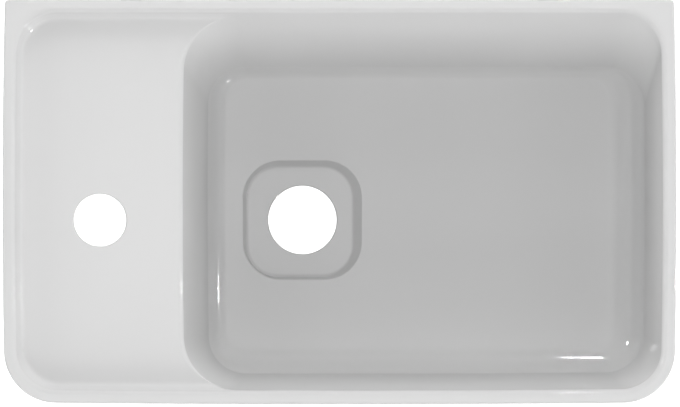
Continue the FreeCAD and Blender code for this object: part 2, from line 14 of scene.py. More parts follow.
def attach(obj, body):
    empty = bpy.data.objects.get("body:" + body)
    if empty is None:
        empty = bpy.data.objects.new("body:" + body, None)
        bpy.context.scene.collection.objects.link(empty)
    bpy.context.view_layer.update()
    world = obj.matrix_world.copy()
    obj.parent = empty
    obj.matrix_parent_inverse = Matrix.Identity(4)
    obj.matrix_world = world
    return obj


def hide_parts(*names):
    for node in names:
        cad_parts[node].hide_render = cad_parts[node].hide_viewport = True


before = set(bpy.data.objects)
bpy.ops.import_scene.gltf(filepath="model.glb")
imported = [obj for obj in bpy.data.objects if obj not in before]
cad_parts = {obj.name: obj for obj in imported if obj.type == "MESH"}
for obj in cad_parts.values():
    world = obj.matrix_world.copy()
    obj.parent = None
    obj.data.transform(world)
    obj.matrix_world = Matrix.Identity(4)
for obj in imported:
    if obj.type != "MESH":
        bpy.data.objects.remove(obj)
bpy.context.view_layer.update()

log = logging.getLogger("cloakroom_basin")

# Every size in this file is in millimetres, as on the drawing; meshes are in metres
METRES = 0.001
# Two places closer than this count as one
SNAP = 1e-6


class Slot(Enum):
    """Material slots of the record."""

    CHINA = "china"
    NYLON = "nylon"
    ZINC_STEEL = "zinc_steel"


class Skin(Enum):
    """The two finishes of the casting, by their place among its material slots."""

    GLAZED = 0
    BARE = 1


class Hand(Enum):
    """The two wall fixings, by the side of the basin on which they sit."""

    LEFT = -1
    RIGHT = 1

    @property
    def word(self) -> str:
        """The side as it stands in a node's name."""
        return self.name.lower()


def unit(vectors: np.ndarray) -> np.ndarray:
    """Vectors drawn to length one."""
    return vectors / np.linalg.norm(vectors, axis=-1, keepdims=True)


def ease(share: float | np.ndarray) -> float | np.ndarray:
    """A share that starts and ends level."""
    return share * share * (3 - 2 * share)


def shares(count: int) -> np.ndarray:
    """Even shares from nought up to one, without the one."""
    return np.arange(count) / count


def steps(count: int) -> np.ndarray:
    """Even shares from above nought up to one."""
    return np.arange(1, count + 1) / count


# Operators


def deselect() -> None:
    """Leaves nothing selected, so that an operator acts on what is picked next."""
    bpy.ops.object.select_all(action="DESELECT")


def pick(piece: bpy.types.Object) -> None:
    """Makes one object the only selected and the active one.

    Args:
        piece: The object to act on.
    """
    deselect()
    piece.select_set(True)
    bpy.context.view_layer.objects.active = piece


def select_loops(mesh: bmesh.types.BMesh, loops: Iterable[int]) -> None:
    """Selects the edges of whole loops of a body made by skinned().

    Args:
        mesh: The mesh in edit mode.
        loops: The numbers of the loops, in the order in which they were drawn.
    """
    layer = mesh.verts.layers.int["loop"]
    wanted = set(loops)
    for edge in mesh.edges:
        first, second = (vertex[layer] for vertex in edge.verts)
        if first == second and first in wanted:
            edge.select_set(True)


def skinned(name: str, loops: Sequence[np.ndarray], ring: bool = False) -> bpy.types.Object:
    """Closed body drawn up from a circle, loop after loop.

    Args:
        name: The new object's name.
        loops: The place of each point of each loop, in millimetres. All loops have as many points.
        ring: Whether the last loop joins the first, as round a bore, instead of both being filled.

    Returns:
        The body, with its faces outwards and its origin at the frame's.
    """
    count = len(loops[0])
    deselect()
    bpy.ops.mesh.primitive_circle_add(vertices=count, radius=METRES, fill_type="NOTHING")
    piece = bpy.context.active_object
    piece.name = name
    bpy.ops.object.mode_set(mode="EDIT")
    mesh = bmesh.from_edit_mesh(piece.data)
    column = mesh.verts.layers.int.new("column")
    loop = mesh.verts.layers.int.new("loop")
    for number, vertex in enumerate(mesh.verts):
        vertex[column] = number
        vertex.co = loops[0][number] * METRES
    for number, places in enumerate(loops[1:], start=1):
        bmesh.update_edit_mesh(piece.data)
        bpy.ops.mesh.extrude_region_move()
        mesh = bmesh.from_edit_mesh(piece.data)
        mesh.verts.ensure_lookup_table()
        column = mesh.verts.layers.int["column"]
        loop = mesh.verts.layers.int["loop"]
        for vertex in mesh.verts[-count:]:
            vertex[loop] = number
            vertex.co = places[vertex[column]] * METRES
    last = len(loops) - 1
    for ends in ((0, last),) if ring else ((0,), (last,)):
        bpy.ops.mesh.select_all(action="DESELECT")
        select_loops(bmesh.from_edit_mesh(piece.data), ends)
        bmesh.update_edit_mesh(piece.data)
        if ring:
            bpy.ops.mesh.bridge_edge_loops()
        else:
            bpy.ops.mesh.edge_face_add()
    bpy.ops.mesh.select_all(action="SELECT")
    bpy.ops.mesh.remove_doubles(threshold=SNAP)
    bpy.ops.mesh.normals_make_consistent(inside=False)
    bpy.ops.object.mode_set(mode="OBJECT")
    pick(piece)
    bpy.ops.object.transform_apply(location=True, rotation=True, scale=True)
    return piece


def finish_modifier(piece: bpy.types.Object, kind: str, **settings: object) -> None:
    """Adds a modifier and applies it.

    Args:
        piece: The object to work on.
        kind: The modifier's type.
        settings: Its settings.
    """
    pick(piece)
    modifier = piece.modifiers.new(kind.title(), kind)
    for key, value in settings.items():
        setattr(modifier, key, value)
    bpy.ops.object.modifier_apply(modifier=modifier.name)


def carve(piece: bpy.types.Object, tool: bpy.types.Object) -> None:
    """Takes a tool's shape out of a body and throws the tool away.

    Args:
        piece: The body, which keeps its name.
        tool: The closed mesh to take out of it.
    """
    finish_modifier(piece, "BOOLEAN", operation="DIFFERENCE", object=tool, solver="EXACT")
    bpy.data.objects.remove(tool)


def painted(piece: bpy.types.Object, skin: Skin) -> bpy.types.Object:
    """Marks all of a mesh as having one of the casting's skins.

    Args:
        piece: A tool or the casting itself.
        skin: The finish that its faces stand for.

    Returns:
        The same object.
    """
    for _ in Skin:
        piece.data.materials.append(None)
    for face in piece.data.polygons:
        face.material_index = skin.value
    return piece


def smoothed(piece: bpy.types.Object, degrees: float) -> None:
    """Smooth shading that stays crisp at edges sharper than an angle.

    Args:
        piece: The object to shade.
        degrees: The angle past which an edge stays crisp.
    """
    pick(piece)
    bpy.ops.object.shade_smooth_by_angle(angle=math.radians(degrees), keep_sharp_edges=False)
    finish_modifier(piece, "WEIGHTED_NORMAL", mode="FACE_AREA_WITH_ANGLE", keep_sharp=True, weight=80)


# Outlines seen from above


class Side(Enum):
    """The four sides of an outline."""

    BACK = "back"
    LEFT = "left"
    FRONT = "front"
    RIGHT = "right"


class Corner(Enum):
    """The four corners of an outline, anticlockwise, each between the back or front and a side."""

    BACK_LEFT = (Side.BACK, Side.LEFT)
    FRONT_LEFT = (Side.FRONT, Side.LEFT)
    FRONT_RIGHT = (Side.FRONT, Side.RIGHT)
    BACK_RIGHT = (Side.BACK, Side.RIGHT)

    @property
    def end(self) -> Side:
        """The back or the front."""
        return self.value[0]

    @property
    def side(self) -> Side:
        """The left or the right."""
        return self.value[1]


@dataclass(frozen=True)
class Fillet:
    """Round between a level face and a wall that leans back from upright.

    Attributes:
        radius: Radius of the round.
        lean: The wall's angle from upright, in radians.
    """

    radius: float
    lean: float

    @property
    def reach(self) -> float:
        """How far the round runs along the level face from the sharp corner."""
        return self.radius * math.cos(self.lean) / (1 + math.sin(self.lean))

    def hollow(self, share: float) -> tuple[float, float]:
        """Point on a concave round at the foot of a wall.

        Args:
            share: Nought at the wall, one on the level face.

        Returns:
            The way inwards from the sharp foot, and the height over the level face.
        """
        turn = self.lean + (math.pi / 2 - self.lean) * share
        return self.reach - self.radius * math.cos(turn), self.radius * (1 - math.sin(turn))

    def edge(self, share: float) -> tuple[float, float]:
        """Point on a convex round over which a level face rolls down into a wall.

        Args:
            share: Nought on the level face, one on the wall.

        Returns:
            The way inwards from the sharp edge, and the drop under the level face.
        """
        turn = (math.pi / 2 - self.lean) * share
        reach = self.radius * math.tan((math.pi / 2 - self.lean) / 2)
        return self.radius * math.sin(turn) - reach, self.radius * (1 - math.cos(turn))


@dataclass(frozen=True)
class Sides:
    """One number for each side of an outline."""

    back: float
    left: float
    front: float
    right: float

    @staticmethod
    def all(number: "float | Sides") -> "Sides":
        """The same number on all four sides, or the sides themselves where they are given."""
        return number if isinstance(number, Sides) else Sides(number, number, number, number)

    @staticmethod
    def of(rule: Callable[[Side], float]) -> "Sides":
        """The number that a rule gives for each side."""
        return Sides(*(rule(side) for side in Side))

    def __getitem__(self, side: Side) -> float:
        """The number of one side."""
        return getattr(self, side.value)

    @property
    def mean(self) -> float:
        """The mean of the four numbers."""
        return (self.back + self.left + self.front + self.right) / 4


def fillets(radii: float | Sides, lean: Sides) -> dict[Side, Fillet]:
    """The round on each side, from its radius and the lean of its wall."""
    return {side: Fillet(Sides.all(radii)[side], lean[side]) for side in Side}


@dataclass(frozen=True)
class Corners:
    """Radii of an outline's four corners."""

    back_left: float
    front_left: float
    front_right: float
    back_right: float

    @staticmethod
    def all(radius: "float | Corners") -> "Corners":
        """The same radius at all four corners, or the radii themselves where they are given."""
        return radius if isinstance(radius, Corners) else Corners(radius, radius, radius, radius)

    @staticmethod
    def ends(back: float, front: float) -> "Corners":
        """One radius for both back corners and one for both front corners."""
        return Corners(back, front, front, back)

    def __getitem__(self, corner: Corner) -> float:
        """The radius of one corner."""
        return getattr(self, corner.name.lower())

    def mixed(self, other: "Corners", share: float) -> "Corners":
        """Radii a share of the way to another set."""
        return Corners(*(self[corner] + (other[corner] - self[corner]) * share for corner in Corner))

    def less(self, run: float, least: float = 1.0) -> "Corners":
        """Radii smaller by a run, though none under the least radius."""
        return Corners(*(max(self[corner] - run, least) for corner in Corner))


SIDE_BOW = 5500.0
FRONT_BOW = 18000.0
WIDEST_FROM_WALL = 133.0


@dataclass(frozen=True)
class Outline:
    """A rounded rectangle, straight at the back, gently bowed at its sides and front.

    Attributes:
        reach: Distances of the left and right from the middle, and of the back and front from the wall.
        radii: Radii of the corners.
    """

    reach: Sides
    radii: Corners

    def inset(self, run: float | Sides, radii: float | Corners) -> "Outline":
        """The outline drawn in on each side.

        Args:
            run: How far each side comes in.
            radii: The corner radii of the new outline.

        Returns:
            The new outline.
        """
        old, run = self.reach, Sides.all(run)
        new = Sides(old.back + run.back, old.left - run.left, old.front - run.front, old.right - run.right)
        return Outline(new, Corners.all(radii))

    def bow(self, side: Side) -> tuple[np.ndarray, float]:
        """The large circle that the left, the right or the front follows.

        Args:
            side: The side.

        Returns:
            The circle's centre and radius.
        """
        if side is Side.FRONT:
            return np.array((0.0, FRONT_BOW - self.reach.front)), FRONT_BOW
        x = SIDE_BOW - self.reach.left if side is Side.LEFT else self.reach.right - SIDE_BOW
        return np.array((x, -WIDEST_FROM_WALL)), SIDE_BOW

    def corner_centre(self, corner: Corner) -> np.ndarray:
        """Centre of the circle that rounds one corner, touching both its sides from inside.

        Args:
            corner: The corner.

        Returns:
            The centre seen from above.
        """
        radius = self.radii[corner]
        sign = -1 if corner.side is Side.LEFT else 1
        centre, bow = self.bow(corner.side)
        to_side = bow - radius
        if corner.end is Side.BACK:
            down = -self.reach.back - radius
            return np.array((centre[0] + sign * math.sqrt(to_side**2 - (down - centre[1]) ** 2), down))
        front, front_bow = self.bow(Side.FRONT)
        to_front = front_bow - radius
        gap = np.linalg.norm(front - centre)
        along = (gap**2 + to_side**2 - to_front**2) / (2 * gap)
        across = math.sqrt(to_side**2 - along**2)
        towards = (front - centre) / gap
        aside = np.array((-towards[1], towards[0]))
        both = [centre + towards * along + aside * across * way for way in (-1, 1)]
        return min(both, key=lambda point: point[1])

    def touch(self, side: Side, corner: Corner) -> np.ndarray:
        """Point where a bowed side or the front runs into a corner."""
        centre, bow = self.bow(side)
        return centre + unit(self.corner_centre(corner) - centre) * bow

    def corner_line(self, corner: Corner, share: np.ndarray) -> np.ndarray:
        """Points along a corner, anticlockwise seen from above.

        Args:
            corner: The corner.
            share: Nought where the corner starts, one where it ends.

        Returns:
            A row of x and y for each share.
        """
        centre = self.corner_centre(corner)
        to_side = self.touch(corner.side, corner) - centre
        if corner.end is Side.BACK:
            to_end = np.array((0.0, 1.0))
        else:
            to_end = self.touch(Side.FRONT, corner) - centre
        side_first = corner in (Corner.FRONT_LEFT, Corner.BACK_RIGHT)
        ways = (to_side, to_end) if side_first else (to_end, to_side)
        start, end = (math.atan2(way[1], way[0]) for way in ways)
        if end < start:
            end += 2 * math.pi
        turn = start + (end - start) * share
        return centre + self.radii[corner] * np.stack((np.cos(turn), np.sin(turn)), 1)

    def side_line(self, side: Side, share: np.ndarray) -> np.ndarray:
        """Points along the left side from back to front, or along the right side from front to back.

        Args:
            side: Left or right.
            share: Nought where the side starts, one where it ends.

        Returns:
            A row of x and y for each share.
        """
        centre, bow = self.bow(side)
        start, end = (self.touch(side, corner)[1] for corner in Corner if corner.side is side)
        y = start + (end - start) * share
        sign = -1 if side is Side.LEFT else 1
        return np.stack((centre[0] + sign * np.sqrt(bow**2 - (y - centre[1]) ** 2), y), 1)

    def front_line(self, share: np.ndarray, start: float | None = None,
                   end: float | None = None) -> np.ndarray:
        """Points along the front from left to right.

        Args:
            share: Nought at the start, one at the end.
            start: Where it starts, or None for the left corner.
            end: Where it ends, or None for the right corner.

        Returns:
            A row of x and y for each share.
        """
        start = self.touch(Side.FRONT, Corner.FRONT_LEFT)[0] if start is None else start
        end = self.touch(Side.FRONT, Corner.FRONT_RIGHT)[0] if end is None else end
        x = start + (end - start) * share
        centre, bow = self.bow(Side.FRONT)
        return np.stack((x, centre[1] - np.sqrt(bow**2 - x**2)), 1)

    def back_line(self, share: np.ndarray, start: float | None = None,
                  end: float | None = None) -> np.ndarray:
        """Points along the back from right to left.

        Args:
            share: Nought at the start, one at the end.
            start: Where it starts, or None for the right corner.
            end: Where it ends, or None for the left corner.

        Returns:
            A row of x and y for each share.
        """
        start = self.corner_centre(Corner.BACK_RIGHT)[0] if start is None else start
        end = self.corner_centre(Corner.BACK_LEFT)[0] if end is None else end
        x = start + (end - start) * share
        return np.stack((x, np.full_like(x, -self.reach.back)), 1)

    def outside(self, points: np.ndarray) -> np.ndarray:
        """How far points lie outside the outline.

        Args:
            points: A row of x and y for each point.

        Returns:
            The distance of each, below nought inside the outline.
        """
        result = points[:, 1] + self.reach.back
        for side in (Side.LEFT, Side.RIGHT, Side.FRONT):
            centre, bow = self.bow(side)
            result = np.maximum(result, np.linalg.norm(points - centre, axis=1) - bow)
        for corner in Corner:
            way = points - self.corner_centre(corner)
            beyond_side = way[:, 0] * (-1 if corner.side is Side.LEFT else 1) > 0
            beyond_end = way[:, 1] * (1 if corner.end is Side.BACK else -1) > 0
            from_round = np.linalg.norm(way, axis=1) - self.radii[corner]
            result = np.where(beyond_side & beyond_end, from_round, result)
        return result


@dataclass(frozen=True)
class Spacing:
    """How many columns or loops of the mesh follow each stretch of the casting.

    The lip's levels are the heights at which the bowl is measured on its wall, on its lip and over it.
    """

    corner: int = 20
    lip_corner: int = 30
    side: int = 22
    front: int = 34
    lower_edge: int = 7
    skirt: int = 8
    rim_outer_edge: int = 6
    rim_top: int = 3
    rim_inner_edge: int = 9
    ledge_wall: int = 3
    ledge_foot: int = 8
    ledge_flat: int = 6
    lip: int = 10
    bowl_wall: int = 12
    bowl_foot: int = 12
    floor: int = 16
    recess_edge: int = 5
    recess_foot: int = 8
    recess_floor: int = 4
    waste_edge: int = 5
    tool: int = 8
    drill_mouth: int = 6
    drill: int = 96
    lip_levels: tuple[int, int, int] = (4, 30, 8)

    @property
    def ledge(self) -> int:
        """Columns between the ends of the lip, round the ledge."""
        return 2 * self.lip_corner + 2 * self.corner + self.side


@dataclass(frozen=True)
class Level:
    """An outline at a height."""

    outline: Outline
    height: float


@dataclass
class Casting:
    """The basin itself: one hollow piece of vitreous china, glazed but for its back and its lower edge."""

    width: float = 450.0
    projection: float = 270.0
    total_height: float = 135.0
    rim: float = 85.0
    front_corner: float = 35.0
    back_edge_round: float = 2.5
    draft_run: float = 9.0
    skirt_corner: float = 30.0
    bottom_round: float = 6.0
    bottom_corner_share: float = 0.6
    rim_width: float = 7.6
    rim_outer_round: float = 1.3
    rim_inner_round: float = 4.0
    rim_corner: float = 28.0
    throat_depth: float = 3.6
    throat_run: float = 1.6
    throat_corner: float = 27.0
    ledge_depth: float = 9.0
    ledge_wall_run: float = 3.4
    ledge_corner: float = 24.0
    ledge_foot_round: float = 4.5
    ledge_thickness: float = 12.0
    narrow_ledge: float = 6.0
    broad_ledge: float = 22.0
    tap_hole: float = 35.0
    tap_from_left: float = 65.0
    hole_round: float = 1.0
    drill_flare: float = math.radians(86.0)
    bowl_depth: float = 94.0
    bowl_wall: float = 10.0
    lip_from_left: float = 119.7
    lip_corner: float = 36.0
    lip_round: float = 4.0
    bowl_run: Sides = Sides(back=36.7, left=18.5, front=12.4, right=13.6)
    floor_corner: Corners = Corners(24.0, 24.0, 26.0, 26.0)
    least_floor_corner: float = 7.0
    foot_round: Sides = Sides(back=9.0, left=12.5, front=18.0, right=24.0)
    waste_from_left: float = 200.0
    waste_from_wall: float = 147.0
    waste_hole: float = 46.0
    recess_size: float = 80.0
    recess_corner: float = 25.0
    recess_depth: float = 7.0
    recess_run: Sides = Sides(back=4.0, left=2.5, front=2.0, right=6.0)
    recess_floor_corner: float = 21.0
    recess_foot_round: float = 2.5
    recess_edge_round: float = 1.0
    recess_thickness: float = 12.0
    floor_fall: float = 2.5
    skirt_wall: float = 9.0
    back_panel: float = 10.0
    hollow_corners: Corners = Corners(8.0, 20.0, 20.0, 8.0)
    hollow_round: float = 5.0
    underside_round: float = 16.0
    boss_round: float = 4.0
    tool_corner_share: float = 0.7
    bolt_spacing: float = 280.0
    fixing_hole: float = 15.6
    overrun: float = 5.0
    bare_depth: float = 0.2
    crisp_from: float = 32.0
    spacing: Spacing = Spacing()

    # Heights over the bolts. The rim's is given

    @property
    def bottom(self) -> float:
        """Height of the lower edge."""
        return self.rim - self.total_height

    @property
    def throat(self) -> float:
        """Height at which the rim's inner edge ends and the ledge and the bowl begin."""
        return self.rim - self.throat_depth

    @property
    def ledge(self) -> float:
        """Height of the tap ledge."""
        return self.rim - self.ledge_depth

    @property
    def floor(self) -> float:
        """Height of the bowl's floor at its edge."""
        return self.rim - self.bowl_depth

    @property
    def recess_rim(self) -> float:
        """Height of the floor where the waste recess starts."""
        return self.floor - self.floor_fall

    @property
    def recess_floor(self) -> float:
        """Height of the floor of the waste recess."""
        return self.recess_rim - self.recess_depth

    @property
    def bowl_height(self) -> float:
        """Height of the bowl's walls under the throat."""
        return self.bowl_depth - self.throat_depth

    @property
    def ledge_wall(self) -> float:
        """Height of the low wall round the ledge."""
        return self.ledge_depth - self.throat_depth

    @property
    def ledge_foot(self) -> Fillet:
        """The round at the foot of the wall round the ledge."""
        return Fillet(self.ledge_foot_round, math.atan2(self.ledge_wall_run, self.ledge_wall))

    @property
    def lip_turn(self) -> float:
        """Angle through which the lip rolls from the ledge into the bowl's left wall, in radians."""
        return math.atan2(self.bowl_depth - self.ledge_depth, self.bowl_run.left)

    @property
    def lip_end(self) -> float:
        """Height at which the lip has become the left wall."""
        return self.ledge - self.lip_round * (1 - math.cos(self.lip_turn))

    @property
    def lip_left(self) -> float:
        """Distance of the lip's sharp corner from the middle of the basin."""
        return self.width / 2 - self.lip_from_left

    @property
    def waste(self) -> np.ndarray:
        """Centre of the waste hole seen from above."""
        return np.array((self.waste_from_left - self.width / 2, -self.waste_from_wall))

    # Outlines

    @property
    def rim_outline(self) -> Outline:
        """The casting's outline at the rim.

        Returns:
            The largest outline that it has.
        """
        half = self.width / 2
        return Outline(Sides(0.0, half, self.projection, half),
                       Corners.ends(self.back_edge_round, self.front_corner))

    def skirt_outline(self, height: float) -> Outline:
        """The casting's outline at a height, drawn in a little towards its lower edge.

        Args:
            height: The height over the bolts.

        Returns:
            The outline there.
        """
        share = (self.rim - height) / self.total_height
        run = self.draft_run * share
        front = self.front_corner + (self.skirt_corner - self.front_corner) * share
        return self.rim_outline.inset(Sides(0.0, run, run, run), Corners.ends(self.back_edge_round, front))

    def rim_inset(self, run: float) -> Outline:
        """The rim's outline drawn in by the same run all round.

        Args:
            run: How far inwards.

        Returns:
            The outline, whose back corners open from the outer edge's to the throat's.
        """
        share = min(1.0, run / self.rim_width)
        past = max(0.0, run - self.rim_width) / self.throat_run
        inner = self.rim_corner + (self.throat_corner - self.rim_corner) * past
        back = self.back_edge_round + (inner - self.back_edge_round) * ease(share)
        front = self.front_corner + (inner - self.front_corner) * share
        return self.rim_outline.inset(run, Corners.ends(back, front))

    @property
    def throat_outline(self) -> Outline:
        """The inner edge of the rim at the throat."""
        return self.rim_inset(self.rim_width + self.throat_run)

    def lip_overhang(self, turned: float) -> float:
        """How far the lip lies outside its sharp corner where it has turned by an angle."""
        return self.lip_round * (math.tan(self.lip_turn / 2) - math.sin(turned))

    def bowl_outline(self, height: float | Sides) -> Outline:
        """The bowl's outline, with each side taken at its own height.

        Args:
            height: Heights over the bolts, between the throat and the floor.

        Returns:
            The outline, which opens like a trumpet's mouth at the lip.
        """
        height = Sides.all(height)
        depth = Sides.of(lambda side: self.throat - height[side])
        run = Sides.of(lambda side: self.bowl_run[side] * depth[side] / self.bowl_height)
        throat = self.throat_outline.reach
        if height.left >= self.lip_end:
            drop = min(max(self.ledge - height.left, 0.0), self.ledge - self.lip_end)
            outwards = self.lip_overhang(math.acos(1 - drop / self.lip_round))
            left = self.lip_left + outwards
            left_corner = self.lip_corner + outwards
        else:
            down = (self.lip_end - height.left) / (self.lip_end - self.floor)
            start = self.lip_overhang(self.lip_turn)
            left = self.lip_left + start - (self.bowl_run.left + start) * down
            left_corner = self.lip_corner + start
            left_corner += (self.floor_corner.back_left - left_corner) * down
        opened = self.floor_corner.back_right - self.throat_corner
        right_corner = self.throat_corner + opened * (depth.right / self.bowl_height)
        reach = Sides(throat.back + run.back, left, throat.front - run.front, throat.right - run.right)
        return Outline(reach, Corners(left_corner, left_corner, right_corner, right_corner))

    @property
    def recess_outline(self) -> Outline:
        """The sharp upper edge of the waste recess.

        Returns:
            A rounded square about the waste hole.
        """
        half = self.recess_size / 2
        x, y = self.waste
        return Outline(Sides(-y - half, half - x, half - y, half + x), Corners.all(self.recess_corner))

    @property
    def lip_ends(self) -> tuple[float, float]:
        """Where along the back and along the front the lip's corners run into the bowl's walls."""
        mouth = self.bowl_outline(self.throat)
        return mouth.corner_centre(Corner.BACK_LEFT)[0], mouth.touch(Side.FRONT, Corner.FRONT_LEFT)[0]

    # Loops of the mesh. Each runs anticlockwise from the back end of the lip

    def round_rim(self, outline: Outline, height: float | Sides) -> np.ndarray:
        """Loop outside the lip, whose columns pass round the ledge.

        Args:
            outline: The outline that the loop follows.
            height: The height of each side.

        Returns:
            A row of x, y and z for each column.
        """
        at_back, at_front = self.lip_ends
        few = self.spacing
        return self.raised([
            (outline.back_line(shares(few.lip_corner), at_back), Side.BACK, Side.BACK),
            (outline.corner_line(Corner.BACK_LEFT, shares(few.corner)), Side.BACK, Side.LEFT),
            (outline.side_line(Side.LEFT, shares(few.side)), Side.LEFT, Side.LEFT),
            (outline.corner_line(Corner.FRONT_LEFT, shares(few.corner)), Side.LEFT, Side.FRONT),
            (outline.front_line(shares(few.lip_corner), None, at_front), Side.FRONT, Side.FRONT),
            (outline.front_line(shares(few.front), at_front), Side.FRONT, Side.FRONT),
            *self.right_end(outline),
            (outline.back_line(shares(few.front), None, at_back), Side.BACK, Side.BACK),
        ], height)

    def round_bowl(self, outline: Outline, height: float | Sides) -> np.ndarray:
        """Loop inside the lip, whose columns pass round the bowl.

        Args:
            outline: The outline that the loop follows.
            height: The height of each side.

        Returns:
            A row of x, y and z for each column.
        """
        few = self.spacing
        return self.raised([
            (outline.corner_line(Corner.BACK_LEFT, shares(few.lip_corner)), Side.BACK, Side.LEFT),
            (outline.side_line(Side.LEFT, shares(few.ledge - 2 * few.lip_corner)), Side.LEFT, Side.LEFT),
            (outline.corner_line(Corner.FRONT_LEFT, shares(few.lip_corner)), Side.LEFT, Side.FRONT),
            (outline.front_line(shares(few.front)), Side.FRONT, Side.FRONT),
            *self.right_end(outline),
            (outline.back_line(shares(few.front)), Side.BACK, Side.BACK),
        ], height)

    def right_end(self, outline: Outline) -> list[tuple[np.ndarray, Side, Side]]:
        """The stretches round an outline's right end.

        Args:
            outline: The outline.

        Returns:
            The points of each stretch, with the side that it comes from and goes to.
        """
        few = self.spacing
        return [
            (outline.corner_line(Corner.FRONT_RIGHT, shares(few.corner)), Side.FRONT, Side.RIGHT),
            (outline.side_line(Side.RIGHT, shares(few.side)), Side.RIGHT, Side.RIGHT),
            (outline.corner_line(Corner.BACK_RIGHT, shares(few.corner)), Side.RIGHT, Side.BACK),
        ]

    @staticmethod
    def raised(stretches: list[tuple[np.ndarray, Side, Side]], height: float | Sides) -> np.ndarray:
        """Gives every point of a loop its height.

        Args:
            stretches: Points seen from above, with the side that each stretch comes from and goes to.
            height: The height of each side.

        Returns:
            A row of x, y and z for each point.
        """
        height = Sides.all(height)
        rows = []
        for points, before, after in stretches:
            share = ease(shares(len(points)))
            z = height[before] + (height[after] - height[before]) * share
            rows.append(np.column_stack((points, z)))
        return np.concatenate(rows)

    def bowl_loop(self, height: float | Sides) -> np.ndarray:
        """Loop on the bowl's wall, each side at its own height."""
        return self.round_bowl(self.bowl_outline(height), height)

    # The casting, from its lower edge over the rim and down to the waste

    def skirt_loops(self) -> list[np.ndarray]:
        """Loops up the outside, from the lower edge to the rim's flat top.

        Returns:
            The loops in order.
        """
        few = self.spacing
        loops = []
        rounds = replace(Sides.all(self.bottom_round), back=self.back_edge_round)
        for turn in math.pi / 2 * np.linspace(0, 1, few.lower_edge):
            run = Sides.of(lambda side: rounds[side] * (1 - math.sin(turn)))
            height = Sides.of(lambda side: self.bottom + rounds[side] * (1 - math.cos(turn)))
            outline = self.skirt_outline(height.left)
            corners = outline.radii.less(run.left * self.bottom_corner_share)
            loops.append(self.round_rim(outline.inset(run, corners), height))
        start = Sides.of(lambda side: self.bottom + rounds[side])
        top = self.rim - self.rim_outer_round
        for share in steps(few.skirt):
            height = Sides.of(lambda side: start[side] + (top - start[side]) * share)
            loops.append(self.round_rim(self.skirt_outline(height.left), height))
        for turn in math.pi / 2 * steps(few.rim_outer_edge):
            run = self.rim_outer_round * (1 - math.cos(turn))
            loops.append(self.round_rim(self.rim_inset(run), top + self.rim_outer_round * math.sin(turn)))
        return loops

    def rim_loops(self) -> list[np.ndarray]:
        """Loops across the rim's flat top and over its inner edge to the throat.

        Returns:
            The loops in order, the last of them the throat itself.
        """
        few = self.spacing
        edge = Fillet(self.rim_inner_round, math.atan2(self.throat_run, self.throat_depth))
        first = self.rim_width + edge.edge(0)[0]
        loops = []
        for share in steps(few.rim_top):
            run = self.rim_outer_round + (first - self.rim_outer_round) * share
            loops.append(self.round_rim(self.rim_inset(run), self.rim))
        for share in steps(few.rim_inner_edge):
            run, drop = edge.edge(share)
            loops.append(self.round_rim(self.rim_inset(self.rim_width + run), self.rim - drop))
        loops.append(self.round_rim(self.throat_outline, self.throat))
        return loops

    def ledge_height(self, points: np.ndarray) -> np.ndarray:
        """Height of the ledge and of the wall round it.

        Args:
            points: A row of x and y for each point.

        Returns:
            The height over each point.
        """
        foot = self.ledge_foot
        inwards = -self.throat_outline.inset(self.ledge_wall_run, self.ledge_corner).outside(points)
        upright = np.maximum(-inwards, 0) * self.ledge_wall / self.ledge_wall_run
        level_off = foot.reach - foot.radius * math.cos(foot.lean)
        from_centre = np.clip((foot.reach - inwards) / foot.radius, 0, 1)
        rounded = foot.radius * (1 - np.sqrt(1 - from_centre**2))
        return self.ledge + np.where(inwards < level_off, upright, rounded)

    def bowl_wall_height(self, points: np.ndarray) -> np.ndarray:
        """Height at which points seen from above lie on the bowl's wall or lip.

        Args:
            points: A row of x and y for each point.

        Returns:
            The height over each point, and a height above all the rest outside the bowl's mouth.
        """
        wall, lip, mouth = self.spacing.lip_levels
        rolled = self.ledge - self.lip_round * (1 - np.cos(self.lip_turn * np.linspace(1, 0, lip)))
        below = self.lip_end - self.lip_round * (1 - shares(wall))
        above = self.ledge + (self.throat - self.ledge) * steps(mouth)
        heights = np.concatenate((below, rolled, above))
        outside = np.array([self.bowl_outline(float(height)).outside(points) for height in heights])
        first = np.clip((outside > SNAP).sum(0), 1, len(heights) - 1)
        column = np.arange(len(points))
        before, after = outside[first - 1, column], outside[first, column]
        share = np.clip(before / np.maximum(before - after, SNAP), 0, 1)
        height = heights[first - 1] + (heights[first] - heights[first - 1]) * share
        return np.where(outside[-1] > SNAP, self.rim + self.overrun, height)

    def ledge_loops(self) -> list[np.ndarray]:
        """Loops from the throat to the end of the lip: across the ledge, and down the bowl's other walls.

        Returns:
            The loops in order, the last of them where the lip has become the left wall.
        """
        few = self.spacing
        foot = self.ledge_foot
        at_wall = self.ledge_wall_run + foot.hollow(0)[0]
        across = [at_wall * share for share in steps(few.ledge_wall)]
        across += [self.ledge_wall_run + foot.hollow(share)[0] for share in steps(few.ledge_foot)]
        throat = self.round_rim(self.throat_outline, self.throat)[:few.ledge, :2]
        end = self.bowl_loop(self.lip_end)[:few.ledge, :2]

        def outer(run: float) -> np.ndarray:
            """Points on the ledge's outer part.

            Args:
                run: How far inwards from the throat.

            Returns:
                A row of x and y for each column.
            """
            share = run / self.ledge_wall_run
            corner = self.throat_corner + (self.ledge_corner - self.throat_corner) * share
            return self.round_rim(self.throat_outline.inset(run, corner), self.ledge)[:few.ledge, :2]

        def rolled(turned: float) -> np.ndarray:
            """Points on the lip where it has turned by an angle."""
            return self.bowl_loop(self.ledge - self.lip_round * (1 - math.cos(turned)))[:few.ledge, :2]

